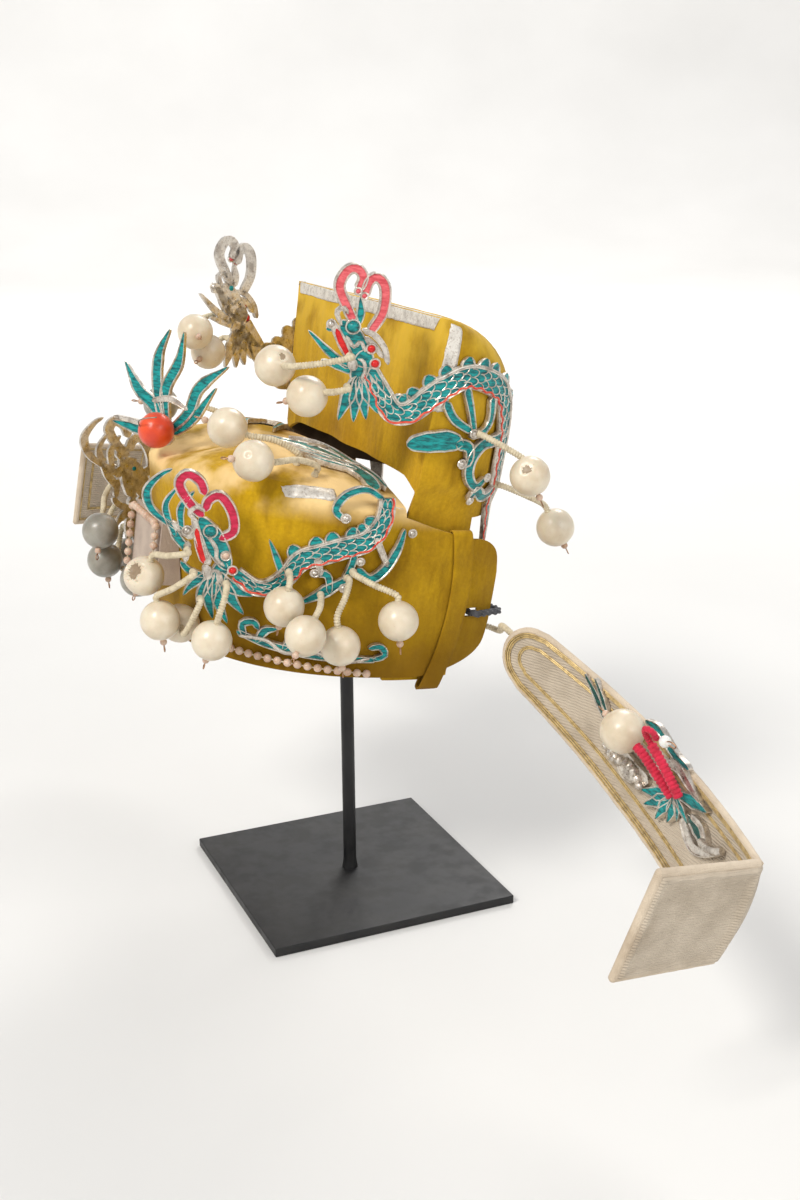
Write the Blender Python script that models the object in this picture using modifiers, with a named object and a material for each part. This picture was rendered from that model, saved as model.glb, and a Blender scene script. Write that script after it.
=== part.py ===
"""A Chinese opera headdress on a plain display stand.

World frame: metres, +Z up, origin at the centre of the underside of the stand's plate. The
headdress faces -Y and the wearer's left is +X. It is modelled in a frame of its own, whose
plane z = 0 is the cap's rim, and an empty tips that frame back on the stand.
"""
import math
from collections import namedtuple

import bmesh
import bpy
import numpy as np
from mathutils import Euler, Matrix, Vector

MM = 0.001

# Clearance between pieces that rest on each other, and between the nested walls.
GAP = 0.3 * MM
NEST_GAP = 1.9 * MM

# Stand
PLATE_SIDE = 152 * MM
PLATE_THICKNESS = 5.3 * MM
PLATE_EDGE = 0.6 * MM
POST_DIAMETER = 8 * MM
BAR_DIAMETER = 7 * MM
BAR_HEIGHT = 70 * MM
BAR_SETBACK = 3.4 * MM

# Where the stand holds the headdress
RIM_HEIGHT = 166 * MM
HEAD_FORWARD = 14.4 * MM
TILT = math.radians(9)

# Cap: plan curve through the rim, height to the shoulder, dome above it
SUEDE = 2.5 * MM
CAP_HALF_WIDTH = 94.5 * MM
CAP_FRONT = 92.5 * MM
CAP_BACK = 115 * MM
CAP_HEIGHT = 93 * MM
CAP_FLARE = 0.045
CAP_FRONT_FLARE = 0.16
CAP_ROUNDNESS = 2.3
SLOT_OFFSET = 3 * MM
SHOULDER_RADIUS = 4 * MM
DOME_RISE = 21 * MM
VALLEY_DEPTH = 8 * MM
VALLEY_HALF_WIDTH = 20 * MM
TAB_LENGTH = 66 * MM
CORD_SLIT = 5 * MM
CORD_SLIT_LENGTH = 8 * MM
CORD_DIAMETER = 3.8 * MM

# Crown: the taller shell behind the slot
CROWN_HALF_WIDTH = 110 * MM
CROWN_DEPTH = 75 * MM
CROWN_HEIGHT = 193 * MM
CROWN_ROUNDNESS = 2.5
CROWN_DROP = 3 * MM
CROWN_LEDGE = 2 * MM
CROWN_SHOULDER = 13 * MM
ARCH_DROP = 5 * MM
PANEL_LIFT = 17.3 * MM
ROOF_EDGE = 3 * MM
GATHER_DEPTH = 2.2 * MM
GATHER_COUNT = 4

# Loops round the tabs
STRAP_WIDTH = 12.5 * MM
STRAP_THICKNESS = 1.2 * MM
STRAP_DROP = 7.5 * MM
STRAP_EASE = 0.6 * MM

# Ornament
RELIEF = 2 * MM
STANDOFF = 0.9 * MM
RELIEF_TOP = STANDOFF + RELIEF + 0.5 * MM
STROKE_UNIT = 1 * MM
FRONT_STROKE_UNIT = CAP_HEIGHT / 93
REAR_STROKE_UNIT = CROWN_HEIGHT / 193
STROKE_STEP = 14 * MM
STROKE_TURN = math.radians(52)
PEARL_RADIUS = 10.5 * MM
STEM_DIAMETER = 3.5 * MM
FIRE_BALL_RADIUS = 9.8 * MM
FLAME_THICKNESS = 1.2 * MM
FLAME_SETBACK = 9.7 * MM
FLAME_TURN = math.radians(40)
BEAD_DIAMETER = 4.4 * MM
BROW_HALF_WIDTH = 27.4 * MM
BROW_LOW = 30 * MM
BROW_HIGH = 65.6 * MM
BROW_DEPTH = 6.5 * MM

# Wings
WING_LENGTH = 203 * MM
WING_ROOT_WIDTH = 34 * MM
WING_MIDDLE_WIDTH = 47 * MM
WING_END_WIDTH = 54 * MM
WING_THICKNESS = 3 * MM
WING_CUP = 4 * MM
WING_STEPS = 8
WING_ORNAMENT_LIFT = 2.6 * MM
WING_PEARL_RADIUS = 11 * MM
PANEL_LENGTH = 60 * MM
PANEL_WIDTH = 56 * MM

# Tables. Lengths in them are shares of the named sizes.
DomeRow = namedtuple("DomeRow", "plan_share")
DOME_ROWS = [DomeRow(s) for s in (0.90, 0.76, 0.58, 0.38, 0.18)]

TabRow = namedtuple("TabRow", "length_share top_share bottom_share")
TAB_ROWS = [
    TabRow(0.13, 0.93, 0.0),
    TabRow(0.28, 0.90, 0.0),
    TabRow(0.46, 0.87, 0.02),
    TabRow(0.64, 0.84, 0.055),
    TabRow(0.80, 0.83, 0.10),
    TabRow(0.91, 0.79, 0.15),
    TabRow(0.97, 0.73, 0.21),
    TabRow(1.0, 0.63, 0.33),
]
WALL_SHARES = (0.0, 0.28, 0.62, 1.0)

Dent = namedtuple("Dent", "x_share y_share z_share radius depth")
CAP_DENTS = [
    Dent(0.96, -0.73, 1.02, 0.13, -0.020),
    Dent(0.99, -0.53, 1.00, 0.12, 0.018),
    Dent(0.98, -0.30, 0.55, 0.22, -0.014),
    Dent(-0.93, -0.70, 1.02, 0.15, -0.016),
    Dent(0.40, -0.96, 0.35, 0.22, -0.010),
]
CROWN_DENTS = [
    Dent(0.55, 0.97, 0.70, 0.30, -0.022),
    Dent(-0.60, 0.90, 0.62, 0.30, -0.020),
    Dent(0.98, 0.30, 0.45, 0.22, -0.010),
]

PanelArch = namedtuple("PanelArch", "width_share lift_share")
PANEL_ARCH = [
    PanelArch(0.0, 1.0),
    PanelArch(0.5, 1.0),
    PanelArch(0.78, 0.9),
    PanelArch(1.0, 0.46),
]

# A stroke is a band of metal along chosen points, in shares of the side that it lies on.
# Its widths, in stroke units, are spread evenly from the first point to the last.
Stroke = namedtuple("Stroke", "widths lift points")

FRONT_DRAGON = {
    "body": Stroke((8, 10, 12, 12.5, 12, 9), 0.0, (
        (-0.80, 0.56), (-0.70, 0.49), (-0.62, 0.51), (-0.56, 0.58), (-0.51, 0.67), (-0.42, 0.72),
        (-0.32, 0.77), (-0.23, 0.81), (-0.175, 0.88), (-0.15, 0.97), (-0.155, 1.07))),
    "brow": Stroke((5, 12, 11, 6), 0.25, (
        (-1.00, 0.86), (-0.95, 0.78), (-0.89, 0.68), (-0.84, 0.58))),
    "snout": Stroke((3, 4.5, 4), 0.4, ((-1.03, 0.86), (-0.99, 0.74), (-0.93, 0.60))),
    "cheek": Stroke((8, 9, 5), 0.1, ((-0.86, 0.62), (-0.89, 0.52), (-0.90, 0.42))),
    "jaw": Stroke((2.5, 4, 3), 0.15, ((-0.92, 0.53), (-1.01, 0.55), (-1.06, 0.60))),
    "jaw_fin": Stroke((4, 5, 1.2), 0.05, ((-1.03, 0.66), (-1.10, 0.75), (-1.15, 0.84))),
    "jaw_link": Stroke((3, 4), 0.3, ((-1.04, 0.60), (-1.04, 0.72))),
    "nose": Stroke((4, 5), 0.5, ((-1.06, 0.76), (-1.00, 0.80))),
    "crest_left": Stroke((3, 3.2, 3), 0.3, (
        (-1.00, 0.84), (-1.07, 0.93), (-1.11, 1.03), (-1.08, 1.09), (-1.02, 1.06), (-0.99, 0.98))),
    "crest_right": Stroke((3, 3.2, 3), 0.35, (
        (-0.98, 0.86), (-0.97, 0.96), (-0.92, 0.99), (-0.86, 0.91), (-0.84, 0.80), (-0.90, 0.75))),
    "plume_low": Stroke((2.5, 5, 1.4), 0.15, (
        (-1.13, 0.80), (-1.22, 0.88), (-1.25, 0.98), (-1.20, 1.07), (-1.15, 1.11))),
    "plume_mid": Stroke((2.5, 4, 1.4), 0.2, (
        (-1.10, 0.74), (-1.16, 0.90), (-1.12, 1.01))),
    "plume_high": Stroke((2.5, 4.2, 1.4), 0.1, ((-1.07, 0.76), (-1.09, 0.90), (-1.04, 1.00))),
    "plume_root": Stroke((3, 4), 0.05, ((-1.14, 0.82), (-1.02, 0.74))),
    "beard_1": Stroke((4, 7, 1), 0.12, ((-0.89, 0.56), (-0.80, 0.47), (-0.71, 0.44))),
    "beard_2": Stroke((5, 7, 1), 0.2, ((-0.88, 0.56), (-0.81, 0.42), (-0.74, 0.33))),
    "beard_3": Stroke((5, 7, 1), 0.3, ((-0.89, 0.56), (-0.86, 0.38), (-0.81, 0.27))),
    "beard_4": Stroke((5, 7, 1), 0.22, ((-0.90, 0.56), (-0.91, 0.40), (-0.88, 0.29))),
    "beard_5": Stroke((5, 6, 1), 0.14, ((-0.91, 0.56), (-0.95, 0.42), (-0.95, 0.33))),
    "beard_6": Stroke((4, 5, 1), 0.24, ((-0.92, 0.56), (-1.00, 0.47), (-1.03, 0.41))),
    "spike": Stroke((4, 4, 1.2), 0.1, ((-0.58, 0.56), (-0.62, 0.66), (-0.67, 0.77))),
    "curl": Stroke((3, 4, 4.5, 3.5), 0.15, (
        (-0.17, 1.06), (-0.26, 1.11), (-0.35, 1.07), (-0.39, 0.98), (-0.33, 0.92))),
    "leaf_right": Stroke((2, 5.5, 6, 4), 0.12, (
        (-0.04, 0.90), (-0.06, 0.78), (-0.11, 0.66), (-0.18, 0.60), (-0.25, 0.66))),
    "leaf_link": Stroke((3, 4), 0.2, ((-0.10, 0.68), (-0.18, 0.84))),
    "claw": Stroke((4, 4, 4.5), 0.3, ((-0.27, 0.74), (-0.28, 0.66), (-0.30, 0.58))),
    "low_leaf": Stroke((2, 7, 3), 0.18, ((-0.49, 0.42), (-0.39, 0.50), (-0.27, 0.61))),
    "low_curl": Stroke((3, 4, 4.5), 0.1, ((-0.36, 0.50), (-0.38, 0.60), (-0.44, 0.61))),
    "low_link": Stroke((3, 4), 0.25, ((-0.41, 0.60), (-0.44, 0.70))),
}

REAR_DRAGON = {
    "body": Stroke((9, 12, 13, 13, 13, 12, 10, 7, 4), 0.0, (
        (-0.47, 0.85), (-0.38, 0.80), (-0.28, 0.75), (-0.17, 0.75), (-0.06, 0.79), (0.05, 0.83),
        (0.20, 0.86), (0.38, 0.85), (0.54, 0.82), (0.63, 0.76), (0.68, 0.68), (0.68, 0.60),
        (0.69, 0.52), (0.71, 0.45), (0.73, 0.38))),
    "brow": Stroke((6, 11, 12, 8), 0.25, (
        (-0.70, 0.965), (-0.62, 0.93), (-0.55, 0.89), (-0.47, 0.86))),
    "snout": Stroke((3.5, 5, 4), 0.4, ((-0.77, 0.965), (-0.70, 0.925), (-0.60, 0.87))),
    "cheek": Stroke((9, 10, 8), 0.1, ((-0.49, 0.90), (-0.53, 0.86), (-0.54, 0.81))),
    "jaw_fin": Stroke((4, 4, 1.2), 0.05, ((-0.60, 0.85), (-0.74, 0.88), (-0.90, 0.93))),
    "jaw_low": Stroke((4, 4, 1.5), 0.15, ((-0.58, 0.84), (-0.68, 0.85), (-0.79, 0.86))),
    "horn_curl": Stroke((3, 4), 0.3, ((-0.79, 0.94), (-0.72, 0.95))),
    "crest_left": Stroke((3.2, 3.4, 3.2), 0.3, (
        (-0.61, 0.95), (-0.68, 1.00), (-0.75, 1.05), (-0.72, 1.09), (-0.66, 1.105),
        (-0.61, 1.08), (-0.63, 1.04))),
    "crest_right": Stroke((3.2, 3.4, 3.2), 0.35, (
        (-0.60, 0.96), (-0.58, 1.02), (-0.57, 1.07), (-0.52, 1.085), (-0.46, 1.06),
        (-0.45, 1.00), (-0.51, 0.945))),
    "beard_1": Stroke((5, 7, 1), 0.12, ((-0.54, 0.83), (-0.59, 0.76), (-0.62, 0.71))),
    "beard_2": Stroke((5, 7, 1), 0.2, ((-0.54, 0.83), (-0.53, 0.77), (-0.52, 0.71))),
    "beard_3": Stroke((5, 7, 1), 0.3, ((-0.53, 0.83), (-0.48, 0.77), (-0.44, 0.72))),
    "beard_4": Stroke((5, 7, 1), 0.22, ((-0.52, 0.83), (-0.44, 0.78), (-0.37, 0.74))),
    "beard_5": Stroke((5, 6, 1), 0.14, ((-0.51, 0.84), (-0.41, 0.80), (-0.30, 0.78))),
    "mane": Stroke((5, 6, 4), 0.32, ((-0.56, 0.94), (-0.47, 0.93), (-0.38, 0.895))),
    "leg_front": Stroke((5, 5, 4), 0.2, ((0.06, 0.79), (0.15, 0.745), (0.30, 0.715))),
    "leg_middle": Stroke((5, 4, 3), 0.26, ((0.20, 0.83), (0.27, 0.77), (0.33, 0.71))),
    "leg_back": Stroke((5, 4, 4), 0.14, ((0.44, 0.81), (0.46, 0.75), (0.41, 0.715), (0.30, 0.70))),
    "drop_leaf": Stroke((2, 9, 12, 8), 0.08, (
        (-0.17, 0.66), (-0.04, 0.675), (0.12, 0.685), (0.25, 0.68))),
    "drop_curl": Stroke((7, 6, 4), 0.18, (
        (0.20, 0.68), (0.31, 0.67), (0.33, 0.63), (0.26, 0.625))),
    "scroll_top": Stroke((6, 7, 7, 6, 3), 0.12, (
        (0.67, 0.71), (0.56, 0.69), (0.44, 0.68), (0.36, 0.64), (0.36, 0.59), (0.44, 0.56),
        (0.53, 0.585))),
    "scroll_low": Stroke((5, 6, 3), 0.22, ((0.67, 0.55), (0.56, 0.53), (0.46, 0.55), (0.42, 0.52))),
}

# The tail lies on the dome: the points are shares of the half width and of the front's length.
DRAGON_TAIL = {
    "ridge": Stroke((8, 8, 6, 2), 0.0, (
        (0.90, -0.16), (0.74, -0.17), (0.58, -0.27), (0.43, -0.38), (0.33, -0.49), (0.15, -0.54))),
    "outer": Stroke((2, 5, 5, 3, 1), 0.15, (
        (0.86, -0.09), (0.70, -0.11), (0.55, -0.20), (0.33, -0.27), (0.14, -0.38))),
    "outer_link": Stroke((3, 3), 0.25, ((0.62, -0.16), (0.61, -0.26))),
    "outer_link_low": Stroke((3, 3), 0.25, ((0.41, -0.25), (0.43, -0.38))),
    "feather_1": Stroke((3, 3, 0.8), 0.1, ((0.62, -0.25), (0.52, -0.38), (0.43, -0.48))),
    "feather_2": Stroke((3, 3, 0.8), 0.2, ((0.66, -0.23), (0.59, -0.36), (0.52, -0.48))),
    "feather_3": Stroke((3, 3, 0.8), 0.3, ((0.70, -0.20), (0.66, -0.34), (0.61, -0.44))),
}

RIM_TRIM = {
    "stem": Stroke((4, 4, 4, 3), 0.0, (
        (-0.76, 0.225), (-0.63, 0.17), (-0.50, 0.14), (-0.36, 0.125), (-0.20, 0.12), (-0.08, 0.12))),
    "leaf_1": Stroke((2, 4, 1), 0.1, ((-0.68, 0.18), (-0.66, 0.25), (-0.60, 0.27))),
    "leaf_2": Stroke((2, 4, 1), 0.1, ((-0.53, 0.14), (-0.49, 0.21), (-0.43, 0.22))),
    "leaf_3": Stroke((2, 4, 1), 0.1, ((-0.33, 0.12), (-0.29, 0.18), (-0.23, 0.19))),
    "curl": Stroke((3, 3.5, 2.5), 0.2, ((-0.10, 0.12), (-0.04, 0.15), (-0.07, 0.20), (-0.13, 0.19))),
}

# The flame stands in a plane behind the fire ball: shares of half width and cap height.
FLAME = {
    "low_blade": Stroke((1, 7, 8, 5), 0.0, ((-0.39, 1.16), (-0.25, 1.15), (-0.08, 1.14), (0.05, 1.13))),
    "hub": Stroke((13, 13), 0.2, ((-0.05, 1.145), (0.05, 1.145))),
    "left_leaf": Stroke((5, 8, 7, 1), 0.1, ((-0.04, 1.17), (-0.11, 1.30), (-0.23, 1.38), (-0.34, 1.53))),
    "tall_left": Stroke((5, 7, 7, 1), 0.3, ((-0.03, 1.18), (-0.10, 1.42), (-0.11, 1.60), (-0.05, 1.76))),
    "tall_middle": Stroke((4, 7, 7, 1), 0.4, ((0.0, 1.18), (-0.04, 1.40), (0.03, 1.58), (0.05, 1.76))),
    "tall_right": Stroke((5, 7, 7, 1), 0.5, ((0.02, 1.17), (0.13, 1.30), (0.19, 1.46), (0.365, 1.61))),
    "short_right": Stroke((4, 6, 1), 0.25, ((0.05, 1.16), (0.16, 1.26), (0.30, 1.475))),
}

# Pearls: the surface that carries the stem, its foot there, the stem's outer end and the
# pearl's centre, in shares of that surface's half width, length and height.
Pearl = namedtuple("Pearl", "carrier foot tip centre sides")
PEARLS = {
    "brow_high": Pearl("front", (-1.04, 0.67), (0.60, -1.15, 0.58), (0.53, -1.17, 0.44), "both"),
    "brow_low": Pearl("front", (-1.00, 0.55), (0.66, -1.13, 0.36), (0.66, -1.10, 0.22), "both"),
    "chin": Pearl("front", (-0.84, 0.50), (0.98, -0.90, 0.36), (0.93, -0.91, 0.19), "both"),
    "temple": Pearl("front", (-0.56, 0.60), (1.10, -0.61, 0.56), (1.06, -0.61, 0.43), "both"),
    "cheek": Pearl("front", (-0.40, 0.49), (1.20, -0.48, 0.46), (1.29, -0.565, 0.335), "both"),
    "ear": Pearl("front", (-0.29, 0.60), (1.19, -0.38, 0.42), (1.19, -0.345, 0.25), "both"),
    "nape": Pearl("front", (-0.27, 0.64), (1.27, -0.12, 0.57), (1.29, -0.10, 0.43), "both"),
    "throat": Pearl("front", (-0.95, 0.40), (0.75, -1.0, 0.17), (0.476, -0.95, 0.15), "both"),
    "dome_side": Pearl("dome", (0.78, -0.44), (0.92, -0.70, 1.20), (0.931, -0.806, 1.204), "both"),
    "dome_top": Pearl("dome", (0.66, -0.50), (0.64, -0.74, 1.29), (0.582, -0.847, 1.317), "left"),
    "mouth_high": Pearl("rear", (-0.62, 0.88), (0.85, -0.97, 0.835), (0.65, -1.00, 0.82), "both"),
    "mouth_low": Pearl("rear", (-0.60, 0.80), (0.84, -0.74, 0.775), (0.78, -0.82, 0.757), "both"),
    "claw_high": Pearl("rear", (0.36, 0.71), (1.09, 0.63, 0.665), (1.12, 0.69, 0.62), "both"),
    "claw_low": Pearl("rear", (0.66, 0.56), (0.85, 1.07, 0.515), (0.86, 1.19, 0.452), "both"),
}

# The small dragon on each wing, in shares of the arm's length and of half its end's width
WING_DRAGON = {
    "claw_long": Stroke((2, 4.5, 4), 0.0, ((0.24, 0.72), (0.29, 0.48), (0.37, 0.20))),
    "claw_short": Stroke((2, 4, 4), 0.3, ((0.27, 0.83), (0.31, 0.58), (0.37, 0.22))),
    "spine": Stroke((6, 8, 8, 7), 0.15, ((0.35, 0.16), (0.41, 0.0), (0.48, -0.05), (0.58, 0.05))),
    "back": Stroke((8, 11, 9), 0.1, ((0.52, 0.10), (0.58, 0.30), (0.65, 0.34))),
    "neck": Stroke((3, 6, 4), 0.4, ((0.50, 0.78), (0.57, 0.74), (0.63, 0.50))),
    "jaw": Stroke((5, 7, 3), 0.6, ((0.58, 0.62), (0.66, 0.66), (0.73, 0.72))),
    "fan_1": Stroke((7, 9, 3), 0.9, ((0.64, 0.24), (0.58, -0.02), (0.55, -0.24))),
    "fan_2": Stroke((7, 9, 4), 1.2, ((0.64, 0.24), (0.625, -0.12), (0.62, -0.36))),
    "fan_3": Stroke((6, 8, 3), 1.0, ((0.65, 0.26), (0.68, 0.0), (0.70, -0.14))),
    "fan_4": Stroke((5, 6, 2), 1.1, ((0.65, 0.30), (0.71, 0.50), (0.77, 0.70))),
    "tail": Stroke((7, 8, 5, 4), 0.3, ((0.67, 0.20), (0.74, 0.08), (0.80, 0.0), (0.85, 0.30))),
}

# The wing's pearl: the foot of its stem, where the stem meets it and its centre, as shares
# along and across with a lift in stroke units
WING_STEMS = (
    ((0.655, 0.37, 9), (0.60, 0.57, 13), (0.49, 0.84, 17)),
    ((0.68, 0.50, 9), (0.63, 0.72, 12.5), (0.575, 0.92, 15)),
)
WING_PEARL_CENTRE = (0.465, 0.79, 17.5)

# Wings: where each root is, its Euler angles and how far the arm bends, in the cap's frame.
WingPose = namedtuple("WingPose", "side root yaw pitch roll curl droop fold")
WINGS = [
    WingPose("left", (1.344, 0.49, 0.344), 0.614, 0.446, 0.172, -0.805, -0.244, -1.193),
    WingPose("right", (1.30, 0.49, 0.33), -0.15, 0.10, 0.0, -0.60, -0.10, -1.30),
]


def clear_scene():
    """Remove what the scene holds, and make the collections for the parts and the cutters."""
    for item in list(bpy.data.objects):
        bpy.data.objects.remove(item, do_unlink=True)
    collections = []
    for name in ("opera_headdress", "cutters"):
        collection = bpy.data.collections.new(name)
        bpy.context.scene.collection.children.link(collection)
        collections.append(collection)
    return collections


PARTS, CUTTERS = clear_scene()


def material(name, colour, roughness, metallic=0.0):
    """A plain Principled material in the part's own colour."""
    result = bpy.data.materials.new(name)
    result.use_nodes = True
    shader = result.node_tree.nodes["Principled BSDF"]
    shader.inputs["Base Color"].default_value = (*colour, 1.0)
    shader.inputs["Roughness"].default_value = roughness
    shader.inputs["Metallic"].default_value = metallic
    result.diffuse_color = (*colour, 1.0)
    return result


LOOKS = {
    "suede": ((0.62, 0.42, 0.05), 0.85, 0.0),
    "black_steel": ((0.012, 0.012, 0.012), 0.45, 0.4),
    "enamelled_metal": ((0.03, 0.38, 0.38), 0.35, 0.5),
    "pearl": ((0.82, 0.74, 0.62), 0.25, 0.0),
    "fire_red": ((0.80, 0.14, 0.03), 0.3, 0.0),
    "felt": ((0.75, 0.70, 0.60), 0.9, 0.0),
    "wrapped_cord": ((0.66, 0.60, 0.44), 0.8, 0.0),
    "charcoal": ((0.05, 0.05, 0.055), 0.9, 0.0),
    "brow_cloth": ((0.55, 0.45, 0.36), 0.8, 0.0),
}


def new_object(name, mesh, look, parent=None):
    """An object in the parts collection, with its own material."""
    result = bpy.data.objects.new(name, mesh)
    result.data.materials.clear()
    result.data.materials.append(material(name, *LOOKS[look]))
    PARTS.objects.link(result)
    result.parent = parent
    return result


def mesh_from(bm, name):
    mesh = bpy.data.meshes.new(name)
    bm.to_mesh(mesh)
    bm.free()
    return mesh


def evaluated_mesh(item, name):
    """The item's shape with its modifiers, as a mesh of its own."""
    bpy.context.view_layer.update()
    depsgraph = bpy.context.evaluated_depsgraph_get()
    return bpy.data.meshes.new_from_object(item.evaluated_get(depsgraph), depsgraph=depsgraph)


def fused(name, pieces, look, parent):
    """One object that is the union of the given closed meshes."""
    base = new_object(name, pieces[0], look, parent)
    group = bpy.data.collections.new(name + "_pieces")
    CUTTERS.children.link(group)
    helpers = []
    for index, mesh in enumerate(pieces[1:]):
        helper = bpy.data.objects.new(f"{name}_piece_{index}", mesh)
        group.objects.link(helper)
        helper.parent = parent
        helpers.append(helper)
    union = base.modifiers.new("Fuse", "BOOLEAN")
    union.operation = "UNION"
    union.operand_type = "COLLECTION"
    union.collection = group
    union.solver = "EXACT"
    union.use_self = True
    mesh = evaluated_mesh(base, name)
    base.modifiers.clear()
    base.data = mesh
    for helper in helpers:
        bpy.data.objects.remove(helper, do_unlink=True)
    bpy.data.collections.remove(group)
    triangulate(mesh)
    return base


def triangulate(mesh):
    """Split a union's faces into triangles, so that they can follow a curved wall."""
    bm = bmesh.new()
    bm.from_mesh(mesh)
    bmesh.ops.triangulate(bm, faces=bm.faces)
    bm.to_mesh(mesh)
    bm.free()


def cutter(name, mesh, parent):
    result = bpy.data.objects.new(name, mesh)
    CUTTERS.objects.link(result)
    result.parent = parent
    result.hide_render = True
    result.display_type = "WIRE"
    return result


def box_mesh(name, size, matrix):
    bm = bmesh.new()
    bmesh.ops.create_cube(bm, size=1.0, matrix=matrix @ Matrix.Diagonal((*size, 1.0)))
    return mesh_from(bm, name)


def ball_mesh(name, centre, radius, segments=8, rings=5):
    bm = bmesh.new()
    bmesh.ops.create_uvsphere(bm, u_segments=segments, v_segments=rings, radius=radius,
                              matrix=Matrix.Translation(centre))
    return mesh_from(bm, name)


def tube_mesh(name, points, diameter, bevel_resolution=2):
    """A closed round tube along the points, from a curve with filled and welded caps."""
    curve = bpy.data.curves.new(name, "CURVE")
    curve.dimensions = "3D"
    curve.bevel_depth = diameter / 2
    curve.bevel_resolution = bevel_resolution
    curve.use_fill_caps = True
    spline = curve.splines.new("POLY")
    spline.points.add(len(points) - 1)
    for control, point in zip(spline.points, points):
        control.co = (*point, 1.0)
    item = bpy.data.objects.new(name, curve)
    CUTTERS.objects.link(item)
    mesh = evaluated_mesh(item, name)
    bpy.data.objects.remove(item, do_unlink=True)
    bm = bmesh.new()
    bm.from_mesh(mesh)
    bmesh.ops.remove_doubles(bm, verts=bm.verts, dist=0.01 * MM)
    bmesh.ops.recalc_face_normals(bm, faces=bm.faces)
    bm.to_mesh(mesh)
    bm.free()
    return mesh


def smooth_path(points, count):
    """Points evenly spread along a smooth curve through the given ones."""
    control = [Vector(p) for p in points]
    control = [2 * control[0] - control[1], *control, 2 * control[-1] - control[-2]]
    fine = []
    for before, start, end, after in zip(control, control[1:], control[2:], control[3:]):
        for step in range(8):
            t = step / 8
            fine.append(0.5 * (2 * start + (end - before) * t
                               + (2 * before - 5 * start + 4 * end - after) * t * t
                               + (3 * start - before - 3 * end + after) * t ** 3))
    fine.append(control[-2])
    travelled = [0.0]
    for a, b in zip(fine, fine[1:]):
        travelled.append(travelled[-1] + (b - a).length)
    result = []
    for target in np.linspace(0, travelled[-1], count):
        index = min(int(np.searchsorted(travelled, target, side="right")), len(fine) - 1)
        span = travelled[index] - travelled[index - 1]
        share = (target - travelled[index - 1]) / span if span else 0.0
        result.append(fine[index - 1].lerp(fine[index], min(share, 1.0)))
    return result


def path_length(points):
    return sum((Vector(b) - Vector(a)).length for a, b in zip(points, points[1:]))


# The shapes of the cap and the crown as functions

def cap_half_width(z):
    return CAP_HALF_WIDTH + CAP_FLARE * z


def cap_front(z):
    return CAP_FRONT + CAP_FRONT_FLARE * z


def plan_point(angle, half_width, length, roundness):
    """A point of a superellipse at an angle from straight ahead: across, along."""
    across = half_width * math.copysign(abs(math.sin(angle)) ** (2 / roundness), math.sin(angle))
    along = length * abs(math.cos(angle)) ** (2 / roundness)
    return across, along


def plan_width(along, half_width, length, roundness):
    """Half width of a superellipse at a distance along it."""
    share = min(abs(along) / length, 1.0)
    return half_width * (1 - share ** roundness) ** (1 / roundness)


def cap_side(y, z):
    """x of the cap's left wall, outside."""
    along = y + SLOT_OFFSET
    length = cap_front(z) if along < 0 else CAP_BACK
    return plan_width(along, cap_half_width(z), length, CAP_ROUNDNESS)


def cap_brow(x, z):
    """y of the cap's front wall, outside."""
    return -SLOT_OFFSET - plan_width(x, cap_front(z), cap_half_width(z), CAP_ROUNDNESS)


def dome_height(x, y):
    """z of the dome: two soft lobes with a shallow valley that fades towards the slot."""
    half_width = cap_half_width(CAP_HEIGHT)
    front = cap_front(CAP_HEIGHT)
    along = min(max((y + SLOT_OFFSET + front) / front, 0.0), 1.0)
    ramp = min(along / 0.47, 1.0) ** 0.6
    back = 1 - 0.45 * max(0.0, (along - 0.61) / 0.39) ** 2
    across = max(0.0, 1 - (abs(x) / half_width) ** 2.4)
    valley = VALLEY_DEPTH * 2.2 * along ** 0.7 * (1 - along)
    return CAP_HEIGHT + DOME_RISE * across * ramp * back - valley * math.exp(
        -(x / VALLEY_HALF_WIDTH) ** 2)


def crown_half_width(z):
    """The crown's lower wall nests in the cap, and its upper part stands wider than the cap."""
    nested = cap_half_width(min(z, CAP_HEIGHT)) - SUEDE - NEST_GAP
    step = CAP_HEIGHT + CROWN_LEDGE
    shoulder = CAP_HEIGHT + CROWN_SHOULDER
    if z <= step:
        return nested
    wide = CROWN_HALF_WIDTH * (0.923 + 0.077 * (z - shoulder) / (CROWN_HEIGHT - shoulder))
    if z >= shoulder:
        return wide
    share = (z - step) / (shoulder - step)
    return nested + (wide - nested) * share


def roof_share(z):
    """How far back the hood reaches: 1 below the roof, and a narrow edge at the crown's top."""
    start = 0.75 * CROWN_HEIGHT
    share = min(max((z - start) / (CROWN_HEIGHT - start), 0.0), 1.0)
    return max((1 - share ** 2.2) ** (1 / 2.2), ROOF_EDGE / CROWN_DEPTH)


def crown_side(y, z):
    """x of the crown's left wall, outside, for y behind the slot."""
    return plan_width(y, crown_half_width(z), CROWN_DEPTH * roof_share(z), CROWN_ROUNDNESS)


# Surfaces that carry relief: share coordinates to a point, with the normal pointing out

def front_carrier(y, z):
    """The cap's side, which runs on straight ahead where the wall turns to the brow."""
    take_off = -0.51 * cap_front(CAP_HEIGHT)
    if y >= take_off:
        return Vector((cap_side(y, z), y, z))
    step = 0.1 * MM
    slope = (cap_side(take_off + step, z) - cap_side(take_off - step, z)) / (2 * step)
    return Vector((cap_side(take_off, z) + (y - take_off) * min(slope, 0.25), y, z))


def rear_carrier(y, z):
    """The crown's side, which runs on straight ahead of the slot."""
    if y >= 0:
        return Vector((crown_side(y, z), y, z))
    return Vector((crown_half_width(z) + 0.25 * y, y, z))


def dome_carrier(x, y):
    return Vector((x, y, dome_height(x, y)))


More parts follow.
